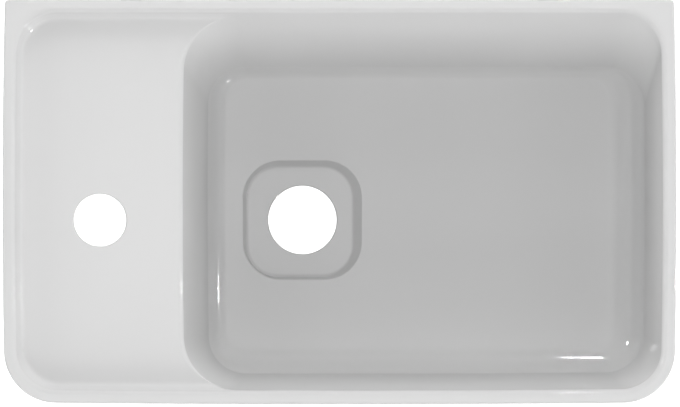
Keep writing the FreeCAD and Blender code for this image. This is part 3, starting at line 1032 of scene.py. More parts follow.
        start_flat, end_flat = outer(across[-1]), rolled(0.0)
        wide = [outer(run) for run in across]
        wide += [start_flat + (end_flat - start_flat) * share for share in steps(few.ledge_flat + 1)[:-1]]
        wide += [rolled(self.lip_turn * share) for share in np.linspace(0, 1, few.lip)]
        apart = np.linalg.norm(end - throat, axis=1)
        weight = ease(np.clip((apart - self.narrow_ledge) / (self.broad_ledge - self.narrow_ledge), 0, 1))
        gone = steps(len(wide))
        even = throat + (end - throat) * gone[:, None, None]
        points = (even + (np.array(wide) - even) * weight[:, None]).reshape(-1, 2)
        height = np.minimum(self.ledge_height(points), self.bowl_wall_height(points))
        ledge = np.column_stack((points, height)).reshape(len(wide), -1, 3)
        loops = []
        for share, places in zip(gone, ledge):
            loop = self.bowl_loop(self.throat + (self.lip_end - self.throat) * share)
            loop[:few.ledge] = places
            loops.append(loop)
        return loops

    def bowl_loops(self) -> list[np.ndarray]:
        """Loops down the bowl's walls and round its foot to the edge of its floor.

        Returns:
            The loops in order.
        """
        lean = Sides.of(lambda side: math.atan2(self.bowl_run[side], self.bowl_height))
        feet = fillets(self.foot_round, replace(lean, left=math.pi / 2 - self.lip_turn))
        starts = Sides.of(lambda side: self.floor + feet[side].hollow(0)[1])
        loops = []
        for share in steps(self.spacing.bowl_wall):
            height = Sides.of(lambda side: self.lip_end + (starts[side] - self.lip_end) * share)
            loops.append(self.bowl_loop(height))
        wall = self.bowl_outline(starts)
        sharp = self.bowl_outline(self.floor)
        end_radii = self.floor_edge_corners(feet)
        begun = Sides.of(lambda side: feet[side].hollow(0)[0])
        for share in steps(self.spacing.bowl_foot):
            inwards = Sides.of(lambda side: feet[side].hollow(share)[0])
            height = Sides.of(lambda side: self.floor + feet[side].hollow(share)[1])
            gone = Sides.of(lambda side: (inwards[side] - begun[side]) / (feet[side].reach - begun[side]))
            loop = self.round_bowl(sharp.inset(inwards, wall.radii.mixed(end_radii, gone.mean)), height)
            loop[:, 2] -= self.fall_below_edge(loop[:, :2]) * ease(gone.mean)
            loops.append(loop)
        return loops

    def fall_below_edge(self, points: np.ndarray) -> np.ndarray:
        """How far the floor has fallen, from its far right corners, towards the waste recess.

        Args:
            points: A row of x and y for each point.

        Returns:
            The fall at each point, the whole of it at the recess.
        """
        farthest = self.bowl_outline(self.floor).reach.right - self.recess_outline.reach.right
        share = np.clip(self.recess_outline.outside(points) / farthest, 0, 1)
        return self.floor_fall * (1 - share)

    def floor_edge_corners(self, feet: dict[Side, Fillet]) -> Corners:
        """Corner radii where the floor comes out of the rounds at the walls' feet.

        Args:
            feet: The round at the foot of each side.

        Returns:
            The floor's own radii, each less the mean reach of its two rounds.
        """
        return Corners(*(
            max(self.floor_corner[corner] - (feet[corner.end].reach + feet[corner.side].reach) / 2,
                self.least_floor_corner)
            for corner in Corner
        ))

    def floor_loops(self, edge: np.ndarray) -> list[np.ndarray]:
        """Loops over the floor, which dips softly to the waste recess, and down to the waste.

        Args:
            edge: The loop at the floor's edge.

        Returns:
            The loops in order.
        """
        few = self.spacing
        recess = self.recess_outline
        lean = Sides.of(lambda side: math.atan2(self.recess_run[side], self.recess_depth))
        brims = fillets(self.recess_edge_round, lean)
        feet = fillets(self.recess_foot_round, lean)

        def brim(share: float) -> np.ndarray:
            """Loop on the crisp upper edge of the recess.

            Args:
                share: Nought on the bowl's floor, one on the recess's wall.

            Returns:
                The loop.
            """
            inwards = Sides.of(lambda side: brims[side].edge(share)[0])
            height = Sides.of(lambda side: self.recess_rim - brims[side].edge(share)[1])
            return self.round_bowl(recess.inset(inwards, self.recess_corner - inwards.mean), height)

        def foot(share: float) -> np.ndarray:
            """Loop on the round at the foot of the recess's wall.

            Args:
                share: Nought on the wall, one on the recess's floor.

            Returns:
                The loop.
            """
            rounded = Sides.of(lambda side: feet[side].hollow(share)[0])
            inwards = Sides.of(lambda side: self.recess_run[side] + rounded[side])
            height = Sides.of(lambda side: self.recess_floor + feet[side].hollow(share)[1])
            return self.round_bowl(recess.inset(inwards, self.recess_floor_corner - rounded.mean), height)

        loops = []
        rim = brim(0.0)
        for share in steps(few.floor):
            places = edge + (rim - edge) * share
            if share < 1:
                places[:, 2] = self.floor - self.fall_below_edge(places[:, :2])
            loops.append(places)
        loops += [brim(share) for share in steps(few.recess_edge)]
        loops += [foot(share) for share in np.linspace(0, 1, few.recess_foot)]
        return loops + self.waste_loops(loops[-1])

    def waste_loops(self, edge: np.ndarray) -> list[np.ndarray]:
        """Loops across the recess's floor, over the waste hole's edge and down the hole.

        Args:
            edge: The loop where the recess's floor comes out of the round at its foot.

        Returns:
            The loops in order. The last lies inside the casting, where the hollow opens the hole.
        """
        away = unit(edge[:, :2] - self.waste)
        radius = self.waste_hole / 2
        crisp = self.hole_round
        loops = []
        outermost = self.waste + away * (radius + crisp)
        for share in steps(self.spacing.recess_floor):
            places = edge.copy()
            places[:, :2] = edge[:, :2] + (outermost - edge[:, :2]) * share
            loops.append(places)
        profile = [
            (radius + crisp * (1 - math.sin(turn)), crisp * (1 - math.cos(turn)))
            for turn in math.pi / 2 * steps(self.spacing.waste_edge)
        ]
        profile += [(radius, self.recess_thickness / 2), (radius, self.recess_thickness + self.overrun)]
        for reach, drop in profile:
            level = np.full(len(away), self.recess_floor - drop)
            loops.append(np.column_stack((self.waste + away * reach, level)))
        return loops

    # Tools that make the casting hollow and drill it

    def tapered(self, name: str, top: Level, foot: Level, foot_round: float) -> bpy.types.Object:
        """Tool between two outlines, whose lower end is rounded.

        Args:
            name: The tool's name.
            top: The upper, larger end.
            foot: The lower end, as it is before it is rounded.
            foot_round: The radius of its edge.

        Returns:
            The tool.
        """
        depth = top.height - foot.height
        old, new = top.outline.reach, foot.outline.reach
        run = replace(Sides.of(lambda side: old[side] - new[side]), back=new.back - old.back)
        feet = fillets(foot_round, Sides.of(lambda side: math.atan2(max(run[side], 0.0), depth)))
        loops = [self.round_bowl(top.outline, top.height)]
        for share in steps(self.spacing.tool):
            gone = Sides.of(lambda side: share * (depth - feet[side].hollow(0)[1]) / depth)
            inwards = Sides.of(lambda side: run[side] * gone[side])
            height = Sides.of(lambda side: top.height - depth * gone[side])
            corners = top.outline.radii.mixed(foot.outline.radii, share)
            loops.append(self.round_bowl(top.outline.inset(inwards, corners), height))
        for share in steps(self.spacing.tool):
            inwards = Sides.of(lambda side: feet[side].hollow(share)[0])
            height = Sides.of(lambda side: foot.height + feet[side].hollow(share)[1])
            corners = foot.outline.radii.less(foot_round * share * self.tool_corner_share)
            loops.append(self.round_bowl(foot.outline.inset(inwards, corners), height))
        return painted(skinned(name, loops), Skin.BARE)

    def hollow_tool(self) -> bpy.types.Object:
        """The space under the ledge and behind the bowl, open below and rounded at its roof.

        Returns:
            The tool that takes it out of the casting.
        """
        def inside(height: float) -> Outline:
            """Inside of the skirt and of the back panel."""
            run = self.draft_run * (self.rim - height) / self.total_height + self.skirt_wall
            return self.rim_outline.inset(Sides(self.back_panel, run, run, run), self.hollow_corners)

        low = self.bottom - self.overrun
        high = self.ledge - self.ledge_thickness
        roof = self.hollow_round
        top = inside(high)
        loops = [self.round_bowl(inside(low), low)]
        for share in steps(self.spacing.tool):
            height = low + (high - roof - low) * share
            run = self.draft_run * (high - height) / self.total_height
            loops.append(self.round_bowl(top.inset(Sides(0.0, run, run, run), top.radii), height))
        for turn in math.pi / 2 * steps(self.spacing.tool):
            run, height = roof * (1 - math.cos(turn)), high - roof * (1 - math.sin(turn))
            loops.append(self.round_bowl(top.inset(run, top.radii.less(run)), height))
        hollow = painted(skinned("hollow_tool", loops), Skin.BARE)
        carve(hollow, self.bowl_outside())
        carve(hollow, self.boss())
        return hollow

    def grown(self, outline: Outline) -> Outline:
        """The outline grown by the bowl's wall all round."""
        return outline.inset(-self.bowl_wall, outline.radii.less(-self.bowl_wall))

    def bowl_outside(self) -> bpy.types.Object:
        """The outside of the bowl, which the hollow goes round.

        Returns:
            The tool that leaves the bowl's wall standing in the hollow.
        """
        top = self.bowl_outline(self.ledge)
        top = Outline(replace(top.reach, left=self.lip_left),
                      replace(top.radii, back_left=self.lip_corner, front_left=self.lip_corner))
        more = Sides.of(lambda side: self.bowl_run[side] * self.bowl_wall / self.bowl_height)
        below = self.bowl_outline(self.floor).inset(replace(more, left=0.0), self.floor_corner)
        return self.tapered("bowl_outside", Level(self.grown(top), self.ledge),
                            Level(self.grown(below), self.floor - self.bowl_wall), self.underside_round)

    def boss(self) -> bpy.types.Object:
        """The outside of the waste recess under the bowl.

        Returns:
            The tool that leaves the boss standing in the hollow.
        """
        foot = self.recess_outline.inset(self.recess_run, self.recess_floor_corner)
        low = self.recess_floor - self.recess_thickness
        return self.tapered("boss", Level(self.grown(self.recess_outline), self.floor),
                            Level(self.grown(foot), low), self.boss_round)

    def drill(self, name: str, radius: float, depth: float, place: tuple[float, float, float],
              from_back: bool) -> bpy.types.Object:
        """Tool for a round hole whose mouth is softened where it comes out.

        Args:
            name: The tool's name.
            radius: The hole's radius.
            depth: How far it goes in.
            place: The middle of its mouth.
            from_back: Whether it goes in from the back, instead of down from above.

        Returns:
            The tool.
        """
        crisp = self.hole_round
        columns = self.spacing.drill
        turn = 2 * math.pi * shares(columns)
        profile = [(radius, -depth), (radius, -crisp)]
        profile += [
            (radius + crisp * (1 - math.cos(angle)), -crisp * (1 - math.sin(angle)))
            for angle in self.drill_flare * steps(self.spacing.drill_mouth)
        ]
        profile.append((profile[-1][0], self.overrun))
        loops = []
        for reach, out in profile:
            x, y, level = reach * np.cos(turn), reach * np.sin(turn), np.full(columns, out)
            loops.append(np.column_stack((x, level, -y) if from_back else (x, y, level)) + np.array(place))
        return painted(skinned(name, loops), Skin.BARE if from_back else Skin.GLAZED)

    def build(self) -> bpy.types.Object:
        """Models the whole casting.

        Returns:
            The finished mesh, not yet dressed.
        """
        loops = self.skirt_loops() + self.rim_loops() + self.ledge_loops() + self.bowl_loops()
        loops += self.floor_loops(loops[-1])
        piece = painted(skinned("basin_casting", loops), Skin.GLAZED)
        carve(piece, self.hollow_tool())
        place = (self.tap_from_left - self.width / 2, -self.waste_from_wall, self.ledge)
        depth = self.ledge_thickness + self.overrun
        carve(piece, self.drill("tap_drill", self.tap_hole / 2, depth, place, False))
        for hand in Hand:
            place = (self.bolt_spacing / 2 * hand.value, 0.0, 0.0)
            depth = self.back_panel + self.overrun
            carve(piece, self.drill("fixing_drill", self.fixing_hole / 2, depth, place, True))
        self.mark_bare_faces(piece)
        smoothed(piece, self.crisp_from)
        return piece

    def mark_bare_faces(self, piece: bpy.types.Object) -> None:
        """Takes the glaze off the ground back and the lower edge.

        Args:
            piece: The casting.
        """
        at_wall = -self.bare_depth * METRES
        at_bottom = (self.bottom + self.bare_depth) * METRES
        for face in piece.data.polygons:
            if face.center.y > at_wall or face.center.z < at_bottom:
                face.material_index = Skin.BARE.value


# Wall fixings


@dataclass
class WallFixing:
    """One wall plug with its hanger bolt, bush, washer and nut, as they sit in the basin's back panel."""

    hand: Hand
    bolt_spacing: float = 280.0
    back_panel: float = 10.0
    clearance: float = 0.3
    bolt_diameter: float = 10.0
    bolt_pitch: float = 1.5
    bolt_thread_depth: float = 0.92
    bolt_thread_runout: float = 2.0
    bolt_thread_end: float = 1.0
    bolt_crest: float = 1.0
    bolt_chamfer: float = 1.0
    bolt_in_wall: float = 62.0
    bolt_past_nut: float = 4.0
    screw_diameter: float = 8.6
    screw_pitch: float = 4.2
    screw_thread_depth: float = 1.25
    screw_thread_runin: float = 3.0
    screw_crest: float = 1.9
    screw_shank: float = 12.0
    screw_tip: float = 9.0
    screw_tip_diameter: float = 2.0
    tip_blunt: float = 0.6
    tip_thread_loss: float = 0.75
    crest_flat: float = 1.12
    plug_diameter: float = 14.0
    plug_length: float = 70.0
    plug_taper: float = 1.5
    plug_collar: float = 6.0
    plug_edge: float = 0.6
    plug_slot_width: float = 1.6
    plug_slot_length: float = 34.0
    rib_from: float = 0.965
    rib_rise: float = 0.02
    barb_pitch: float = 5.0
    barb_depth: float = 0.7
    barb_land: float = 0.9
    barb_root: float = 1.2
    bush_diameter: float = 15.0
    bush_edge: float = 0.4
    flange_diameter: float = 26.0
    flange_thickness: float = 2.5
    washer_diameter: float = 24.0
    washer_thickness: float = 2.0
    washer_edge: float = 0.35
    edge_segments: int = 3
    nut_across_flats: float = 17.0
    nut_height: float = 8.0
    nut_chamfer: float = 0.7
    nut_chamfer_slope: float = 2.0
    nut_mouth: float = 0.7
    nut_face_inset: float = 0.15
    nut_chamfer_loops: int = 9
    crisp_from: float = 40.0
    plug_crisp_from: float = 30.0
    nut_crisp_from: float = 24.0
    thread_columns: int = 60
    turned_columns: int = 72
    nut_columns: int = 96
    bolt_loops_per_pitch: int = 10
    screw_loops_per_pitch: int = 16

    @property
    def x(self) -> float:
        """Where the bolt's axis stands along the wall."""
        return self.bolt_spacing / 2 * self.hand.value

    @property
    def bore(self) -> float:
        """Radius of the bores through which the bolt passes."""
        return self.bolt_diameter / 2 + self.clearance

    @property
    def flange_face(self) -> float:
        """The flange's outer face."""
        return -self.back_panel - self.flange_thickness

    @property
    def washer_face(self) -> float:
        """The washer's outer face."""
        return self.flange_face - self.washer_thickness

    @property
    def nut_face(self) -> float:
        """The nut's outer face."""
        return self.washer_face - self.nut_height

    @property
    def bolt_end(self) -> float:
        """The bolt's free end."""
        return self.nut_face - self.bolt_past_nut

    def named(self, word: str) -> str:
        """A piece's name with the side of its fixing."""
        return f"{word}_{self.hand.word}"

    def loop(self, reach: float | np.ndarray, y: float, columns: int) -> np.ndarray:
        """Loop about the bolt's axis, which runs into the wall.

        Args:
            reach: Distance from the axis, the same all round or one for each point.
            y: The way into the wall.
            columns: Points in the loop.

        Returns:
            A row of x, y and z for each point.
        """
        turn = 2 * math.pi * shares(columns)
        return np.column_stack((self.x + reach * np.cos(turn), np.full(columns, y), reach * np.sin(turn)))

    def turned(self, word: str, profile: Sequence[tuple[float, float]], edge: float) -> bpy.types.Object:
        """Ring of revolution about the bolt's axis.

        Args:
            word: The piece's name without its side.
            profile: Distance from the axis and way into the wall, point after point round the section.
            edge: Width of the bevel on its edges.

        Returns:
            The piece.
        """
        loops = [self.loop(reach, y, self.turned_columns) for reach, y in profile]
        piece = skinned(self.named(word), loops, ring=True)
        finish_modifier(piece, "BEVEL", width=edge * METRES, segments=self.edge_segments,
                        limit_method="ANGLE")
        return piece

    def threaded(self, radius: float, y: float, pitch: float, depth: float, crest: float) -> np.ndarray:
        """Loop across a thread.

        Args:
            radius: The thread's outer radius there.
            y: The way into the wall.
            pitch: The way from one turn to the next.
            depth: The thread's depth there.
            crest: How narrow the crest is against the root.

        Returns:
            A row of x, y and z for each point.
        """
        turn = 2 * math.pi * shares(self.thread_columns)
        phase = (y / pitch - turn / (2 * math.pi)) % 1.0
        tooth = np.clip(1 - np.abs(phase * 2 - 1) * crest, 0, 1)
        tooth = np.minimum(tooth * self.crest_flat, 1.0)
        return self.loop(radius - depth * (1 - tooth), y, self.thread_columns)

    def hanger_bolt(self) -> bpy.types.Object:
        """Bolt with a machine thread through the basin and a wood screw in the plug.

        Returns:
            The piece.
        """
        radius = self.bolt_diameter / 2
        root = radius - self.bolt_thread_depth
        start, end = self.bolt_end, -self.clearance
        fine = self.bolt_pitch / self.bolt_loops_per_pitch
        loops = [self.loop(radius - self.bolt_chamfer, start, self.thread_columns)]
        for y in np.arange(start + fine, end, fine):
            outer = min(radius, radius - self.bolt_chamfer + (y - start))
            runout = np.clip((end - self.bolt_thread_end - y) / self.bolt_thread_runout, 0, 1)
            depth = min(self.bolt_thread_depth * float(runout), outer - root)
            loops.append(self.threaded(outer, float(y), self.bolt_pitch, max(depth, 0.0), self.bolt_crest))
        screw = self.screw_diameter / 2
        loops += [self.loop(reach, end, self.thread_columns) for reach in (radius, screw)]
        tip_start = self.bolt_in_wall - self.screw_tip
        tip = self.screw_tip_diameter / 2
        coarse = self.screw_pitch / self.screw_loops_per_pitch
        for y in np.arange(coarse, self.bolt_in_wall, coarse):
            share = float(np.clip((y - tip_start) / self.screw_tip, 0, 1))
            runin = float(np.clip((y - self.screw_shank) / self.screw_thread_runin, 0, 1))
            runin *= 1 - self.tip_thread_loss * share
            depth = self.screw_thread_depth * runin
            outer = screw + (tip - screw) * share
            loops.append(self.threaded(outer, float(y), self.screw_pitch, depth, self.screw_crest))
        loops.append(self.loop(tip * self.tip_blunt, self.bolt_in_wall, self.thread_columns))
        return skinned(self.named("threaded_hanger_bolt"), loops)

    def nut(self) -> bpy.types.Object:
        """Hexagon nut whose corners are turned off at both faces.

        Returns:
            The piece.
        """
        columns = self.nut_columns
        flat = self.nut_across_flats / 2
        past_flat = (2 * math.pi * shares(columns) % (math.pi / 3)) - math.pi / 6
        hexagon = flat / np.cos(past_flat)
        mouth, face = self.bore + self.nut_mouth, flat - self.nut_face_inset
        rows = [(self.bore, self.nut_mouth), (mouth, 0.0), (face, 0.0)]
        for share in np.linspace(0, 1, self.nut_chamfer_loops)[1:]:
            depth = share * self.nut_chamfer
            rows.append((np.minimum(hexagon, flat + self.nut_chamfer_slope * depth), depth))
        loops = [self.loop(reach, self.nut_face + depth, columns) for reach, depth in rows]
        loops += [self.loop(reach, self.washer_face - depth, columns) for reach, depth in reversed(rows)]
        return skinned(self.named("hexagon_nut"), loops, ring=True)

    def washer(self) -> bpy.types.Object:
        """Stamped washer with its edges softened by tumbling.

        Returns:
            The piece.
        """
        outside = self.washer_diameter / 2
        return self.turned("plain_washer", [
            (self.bore, self.washer_face), (outside, self.washer_face),
            (outside, self.flange_face), (self.bore, self.flange_face),
        ], self.washer_edge)

    def bush(self) -> bpy.types.Object:
        """Moulded bush whose flange keeps the washer off the glaze.

        Returns:
            The piece.
        """
        flange, sleeve = self.flange_diameter / 2, self.bush_diameter / 2
        return self.turned("flanged_bush", [
            (self.bore, self.flange_face), (flange, self.flange_face), (flange, -self.back_panel),
            (sleeve, -self.back_panel), (sleeve, -self.clearance), (self.bore, -self.clearance),
        ], self.bush_edge)

    def wall_plug(self) -> bpy.types.Object:
        """Nylon plug with barbs, split crosswise so that the screw spreads it.

        Returns:
            The piece.
        """
        columns = self.turned_columns
        outside = self.plug_diameter / 2
        bore = self.screw_diameter / 2 + self.clearance
        across = np.abs(np.cos(2 * math.pi * shares(columns)))
        ribs = outside * np.clip((across - self.rib_from) / self.rib_rise, 0, 1)
        end, y = self.plug_length, self.plug_length - 2 * self.plug_taper
        rows = [(bore, end), (outside - self.plug_taper, end), (outside, y)]
        while y - self.barb_pitch > self.plug_collar:
            rows.append((np.maximum(outside, ribs), y - self.barb_land))
            rows.append((np.maximum(outside - self.barb_depth, ribs), y - self.barb_root))
            y -= self.barb_pitch
            rows.append((np.maximum(outside, ribs), y))
        rows += [(outside, self.plug_edge), (outside - self.plug_edge, 0.0), (bore, 0.0)]
        loops = [self.loop(reach, depth, columns) for reach, depth in rows]
        piece = skinned(self.named("barbed_plug"), loops, ring=True)
        for level in (False, True):
            carve(piece, self.slot_tool(level))
        return piece

    def slot_tool(self, level: bool) -> bpy.types.Object:
        """Flat tool that splits the plug from its far end.

        Args:
            level: Whether it lies level instead of upright.

        Returns:
            The tool.
        """
        half = self.plug_slot_width / 2
        wide = self.plug_diameter / 2 + self.clearance
        start = self.plug_length - self.plug_slot_length
        length = self.plug_slot_length + half
        size = (2 * wide, length, 2 * half) if level else (2 * half, length, 2 * wide)
        middle = (self.x, start + length / 2, 0.0)
        deselect()
        bpy.ops.mesh.primitive_cube_add(size=1.0)
        tool = bpy.context.active_object
        bpy.ops.object.mode_set(mode="EDIT")
        bpy.ops.mesh.select_all(action="SELECT")
        bpy.ops.transform.resize(value=[side * METRES for side in size])
        bpy.ops.transform.translate(value=[place * METRES for place in middle])
        bpy.ops.object.mode_set(mode="OBJECT")
        return tool

    def build(self) -> list[tuple[bpy.types.Object, str, Slot]]:
        """Models the five pieces, each smoothed up to its own crisp angle.

        Returns:
            Each piece with the node it stands for and its slot.
        """
        made = [
            (self.wall_plug(), "wall_plug", Slot.NYLON, self.plug_crisp_from),
            (self.hanger_bolt(), "hanger_bolt", Slot.ZINC_STEEL, self.crisp_from),
            (self.bush(), "bush", Slot.NYLON, self.crisp_from),
            (self.washer(), "washer", Slot.ZINC_STEEL, self.crisp_from),
            (self.nut(), "nut", Slot.ZINC_STEEL, self.nut_crisp_from),
        ]
        for piece, _, _, crisp in made:
            smoothed(piece, crisp)
        return [(piece, self.named(node), slot) for piece, node, slot, _ in made]


# Finishes

Colour = tuple[float, float, float]


@dataclass(frozen=True)
class Grain:
    """Noise on a piece's own coordinates.

    Attributes:
        size: Size of its blotches in millimetres.
        detail: Octaves of detail.
        stretch: How much denser it is along each axis.
    """

    size: float
    detail: float
    stretch: tuple[float, float, float] = (1.0, 1.0, 1.0)


@dataclass(frozen=True)
class Relief:
    """Bump of a grain.

    Attributes:
        grain: The grain that gives the height.
        depth: The full height in millimetres.
        strength: How much of it tells.
    """

    grain: Grain
    depth: float
    strength: float


class Nodes:
    """A material's node tree, with short calls for the nodes that the finishes use."""

    def __init__(self, name: str) -> None:
        """Makes a material that holds only a shader and its output.

        Args:
            name: The material's name.
        """
        self.material = bpy.data.materials.new(name)
        self.material.use_nodes = True
        self.tree = self.material.node_tree
        self.tree.nodes.clear()
        self.shader = self.add("ShaderNodeBsdfPrincipled")
        self.output = self.add("ShaderNodeOutputMaterial")
        self.join(self.shader.outputs["BSDF"], self.output.inputs["Surface"])
        self.coordinates = self.add("ShaderNodeTexCoord").outputs["Object"]

    def add(self, kind: str, **settings: object) -> bpy.types.Node:
        """Adds a node.

        Args:
            kind: The node's type.
            settings: Its properties.

        Returns:
            The node.
        """
        node = self.tree.nodes.new(kind)
        for key, value in settings.items():
            setattr(node, key, value)
        return node

    def join(self, source: bpy.types.NodeSocket, target: bpy.types.NodeSocket) -> None:
        """Links two sockets."""
        self.tree.links.new(source, target)

    def noise(self, grain: Grain) -> bpy.types.NodeSocket:
        """Adds a grain.

        Args:
            grain: The noise to lay on the piece's own coordinates.

        Returns:
            The socket of its strength.
        """
        mapping = self.add("ShaderNodeMapping")
        mapping.inputs["Scale"].default_value = grain.stretch
        self.join(self.coordinates, mapping.inputs["Vector"])
        noise = self.add("ShaderNodeTexNoise")
        noise.inputs["Scale"].default_value = 1 / (grain.size * METRES)
        noise.inputs["Detail"].default_value = grain.detail
        self.join(mapping.outputs["Vector"], noise.inputs["Vector"])
        return noise.outputs["Fac"]

    def ramp(self, grain: Grain, stops: tuple[float, float],
             colours: Sequence[Colour]) -> bpy.types.NodeSocket:
        """Colours that pass into each other over a grain.

        Args:
            grain: The grain.
            stops: The grain's values that show the first and the last colour.
            colours: The two colours.

        Returns:
            The socket of the colour.
        """
        ramp = self.add("ShaderNodeValToRGB")
        for element, stop, colour in zip(ramp.color_ramp.elements, stops, colours):
            element.position = stop
            element.color = (*colour, 1)
        self.join(self.noise(grain), ramp.inputs["Fac"])
        return ramp.outputs["Color"]

    def spread(self, grain: Grain, span: tuple[float, float]) -> bpy.types.NodeSocket:
        """Value that varies over a grain.

        Args:
            grain: The grain.
            span: The least and the greatest value.

        Returns:
            The socket of the value.
        """
        spread = self.add("ShaderNodeMapRange")
        spread.inputs["To Min"].default_value, spread.inputs["To Max"].default_value = span
        self.join(self.noise(grain), spread.inputs["Value"])
        return spread.outputs["Result"]

    def bump(self, relief: Relief, under: bpy.types.NodeSocket | None = None) -> bpy.types.NodeSocket:
        """Bump of a relief.

        Args:
            relief: The relief.
            under: A bump that this one lies on.

        Returns:
            The socket of the normal.
        """
        bump = self.add("ShaderNodeBump")
        bump.inputs["Strength"].default_value = relief.strength
        bump.inputs["Distance"].default_value = relief.depth * METRES
        self.join(self.noise(relief.grain), bump.inputs["Height"])
        if under is not None:
            self.join(under, bump.inputs["Normal"])
        return bump.outputs["Normal"]


@dataclass(frozen=True)
class Finish:
    """A finish whose colour and roughness drift a little, over two reliefs.

    Attributes:
        name: The material's name.
        colours: The two colours between which the surface drifts.
        clouds: How large the drifts of colour are.
        cloud_stops: The values of the clouds at which the colours are full.
        roughness: The least and the greatest roughness.
        wear: How large the drifts of roughness are.
        coarse: The relief underneath.
        fine: The relief on top of it.
        sockets: Values set on the shader itself.
    """

    name: str
    colours: tuple[Colour, Colour]
    clouds: Grain
    cloud_stops: tuple[float, float]
    roughness: tuple[float, float]
    wear: Grain
    coarse: Relief
    fine: Relief
    sockets: tuple[tuple[str, float], ...]

    def material(self) -> bpy.types.Material:
        """The finish as a material.

        Returns:
            The material.
        """
        nodes = Nodes(self.name)
        inputs = nodes.shader.inputs
        for socket, value in self.sockets:
            inputs[socket].default_value = value
        nodes.join(nodes.ramp(self.clouds, self.cloud_stops, self.colours), inputs["Base Color"])
        nodes.join(nodes.spread(self.wear, self.roughness), inputs["Roughness"])
        nodes.join(nodes.bump(self.fine, nodes.bump(self.coarse)), inputs["Normal"])
        return nodes.material


@dataclass(frozen=True)
class Glaze(Finish):
    """White glaze over vitreous china: bright, very smooth, with the slow swell of fired clay under it."""

    name: str = "white_glaze"
    colours: tuple[Colour, Colour] = ((0.79, 0.79, 0.79), (0.805, 0.805, 0.805))
    clouds: Grain = Grain(90.0, 3.0)
    cloud_stops: tuple[float, float] = (0.3, 0.7)
    roughness: tuple[float, float] = (0.045, 0.08)
    wear: Grain = Grain(25.0, 4.0)
    coarse: Relief = Relief(Grain(60.0, 1.0), 0.25, 0.6)
    fine: Relief = Relief(Grain(1.1, 2.0), 0.004, 0.35)
    sockets: tuple[tuple[str, float], ...] = (("IOR", 1.52),)


@dataclass(frozen=True)
class BareChina(Finish):
    """Unglazed china: chalky, faintly warm, with the drag marks of the sponge and the grinding."""

    name: str = "bare_china"
    colours: tuple[Colour, Colour] = ((0.69, 0.67, 0.63), (0.74, 0.72, 0.68))
    clouds: Grain = Grain(18.0, 6.0)
    cloud_stops: tuple[float, float] = (0.35, 0.68)
    roughness: tuple[float, float] = (0.62, 0.9)
    wear: Grain = Grain(6.0, 5.0)
    coarse: Relief = Relief(Grain(3.0, 4.0, (0.25, 1.0, 1.6)), 0.12, 0.5)
    fine: Relief = Relief(Grain(0.5, 3.0), 0.05, 0.5)
    sockets: tuple[tuple[str, float], ...] = (("Specular IOR Level", 0.25),)


@dataclass(frozen=True)
class Moulded(Finish):
    """Nylon as it leaves the mould: satin, a little cloudy and finely sparked."""

    clouds: Grain = Grain(7.0, 4.0)
    cloud_stops: tuple[float, float] = (0.3, 0.7)
    roughness: tuple[float, float] = (0.34, 0.5)
    wear: Grain = Grain(2.0, 4.0)
    coarse: Relief = Relief(Grain(4.0, 2.0, (1.0, 0.2, 1.0)), 0.05, 0.35)
    fine: Relief = Relief(Grain(0.25, 2.0), 0.015, 0.5)
    sockets: tuple[tuple[str, float], ...] = (("Subsurface Weight", 0.12), ("Subsurface Scale", 0.004))


@dataclass(frozen=True)
class ZincPlate(Finish):
    """Bright zinc over steel: bluish grey, spangled, with fine lines left by turning and rolling."""

    name: str = "zinc_plate"
    colours: tuple[Colour, Colour] = ((0.55, 0.57, 0.6), (0.72, 0.74, 0.76))
    clouds: Grain = Grain(3.5, 5.0)
    cloud_stops: tuple[float, float] = (0.32, 0.66)
    roughness: tuple[float, float] = (0.24, 0.46)
    wear: Grain = Grain(1.6, 5.0)
    coarse: Relief = Relief(Grain(0.8, 3.0, (0.3, 3.0, 0.3)), 0.02, 0.5)
    fine: Relief = Relief(Grain(0.3, 2.0), 0.008, 0.4)
    sockets: tuple[tuple[str, float], ...] = (("Metallic", 1.0),)


# Studio


class Reach(Enum):
    """What a lamp does for a surface: light it, show in its gloss, or both."""

    LIT = "lit"
    GLOSS = "gloss"
    BOTH = "both"


@dataclass(frozen=True)
class Softbox:
    """A lamp that looks at a point of the basin.

    Attributes:
        name: The lamp's name.
        bearing: The way it stands in, in degrees from the front and on towards the right.
        elevation: How high it stands over the horizon, in degrees.
        size: Its width and height in metres.
        strength: Its power in watts.
        reach: Whether it lights surfaces, shows in their gloss, or both.
        distance: How far away it stands, in metres.
        aim: The point it looks at, in metres.
    """

    name: str
    bearing: float
    elevation: float
    size: tuple[float, float]
    strength: float
    reach: Reach = Reach.LIT
    distance: float = 2.0
    aim: tuple[float, float, float] = (0.0, -0.135, 0.04)

    @property
    def away(self) -> Vector:
        """The way from the basin to the lamp.

        Returns:
            A vector of length one.
        """
        bearing, elevation = math.radians(self.bearing), math.radians(self.elevation)
        level = math.cos(elevation)
        return Vector((math.sin(bearing) * level, -math.cos(bearing) * level, math.sin(elevation)))

    def hang(self) -> None:
        """Hangs the lamp. What lights the basin passes on no bounced light."""
        data = bpy.data.lights.new(self.name, "AREA")
        data.shape = "RECTANGLE"
        data.size, data.size_y = self.size
        data.energy = self.strength
        data.cycles.max_bounces = 1 if self.reach is Reach.GLOSS else 0
        lamp = bpy.data.objects.new(self.name, data)
        lamp.visible_diffuse = self.reach is not Reach.GLOSS
        lamp.visible_glossy = self.reach is not Reach.LIT
        bpy.context.scene.collection.objects.link(lamp)
        place = Vector(self.aim) + self.away * self.distance
        turn = (-self.away).to_track_quat("-Z", "Y")
        lamp.matrix_world = Matrix.Translation(place) @ turn.to_matrix().to_4x4()


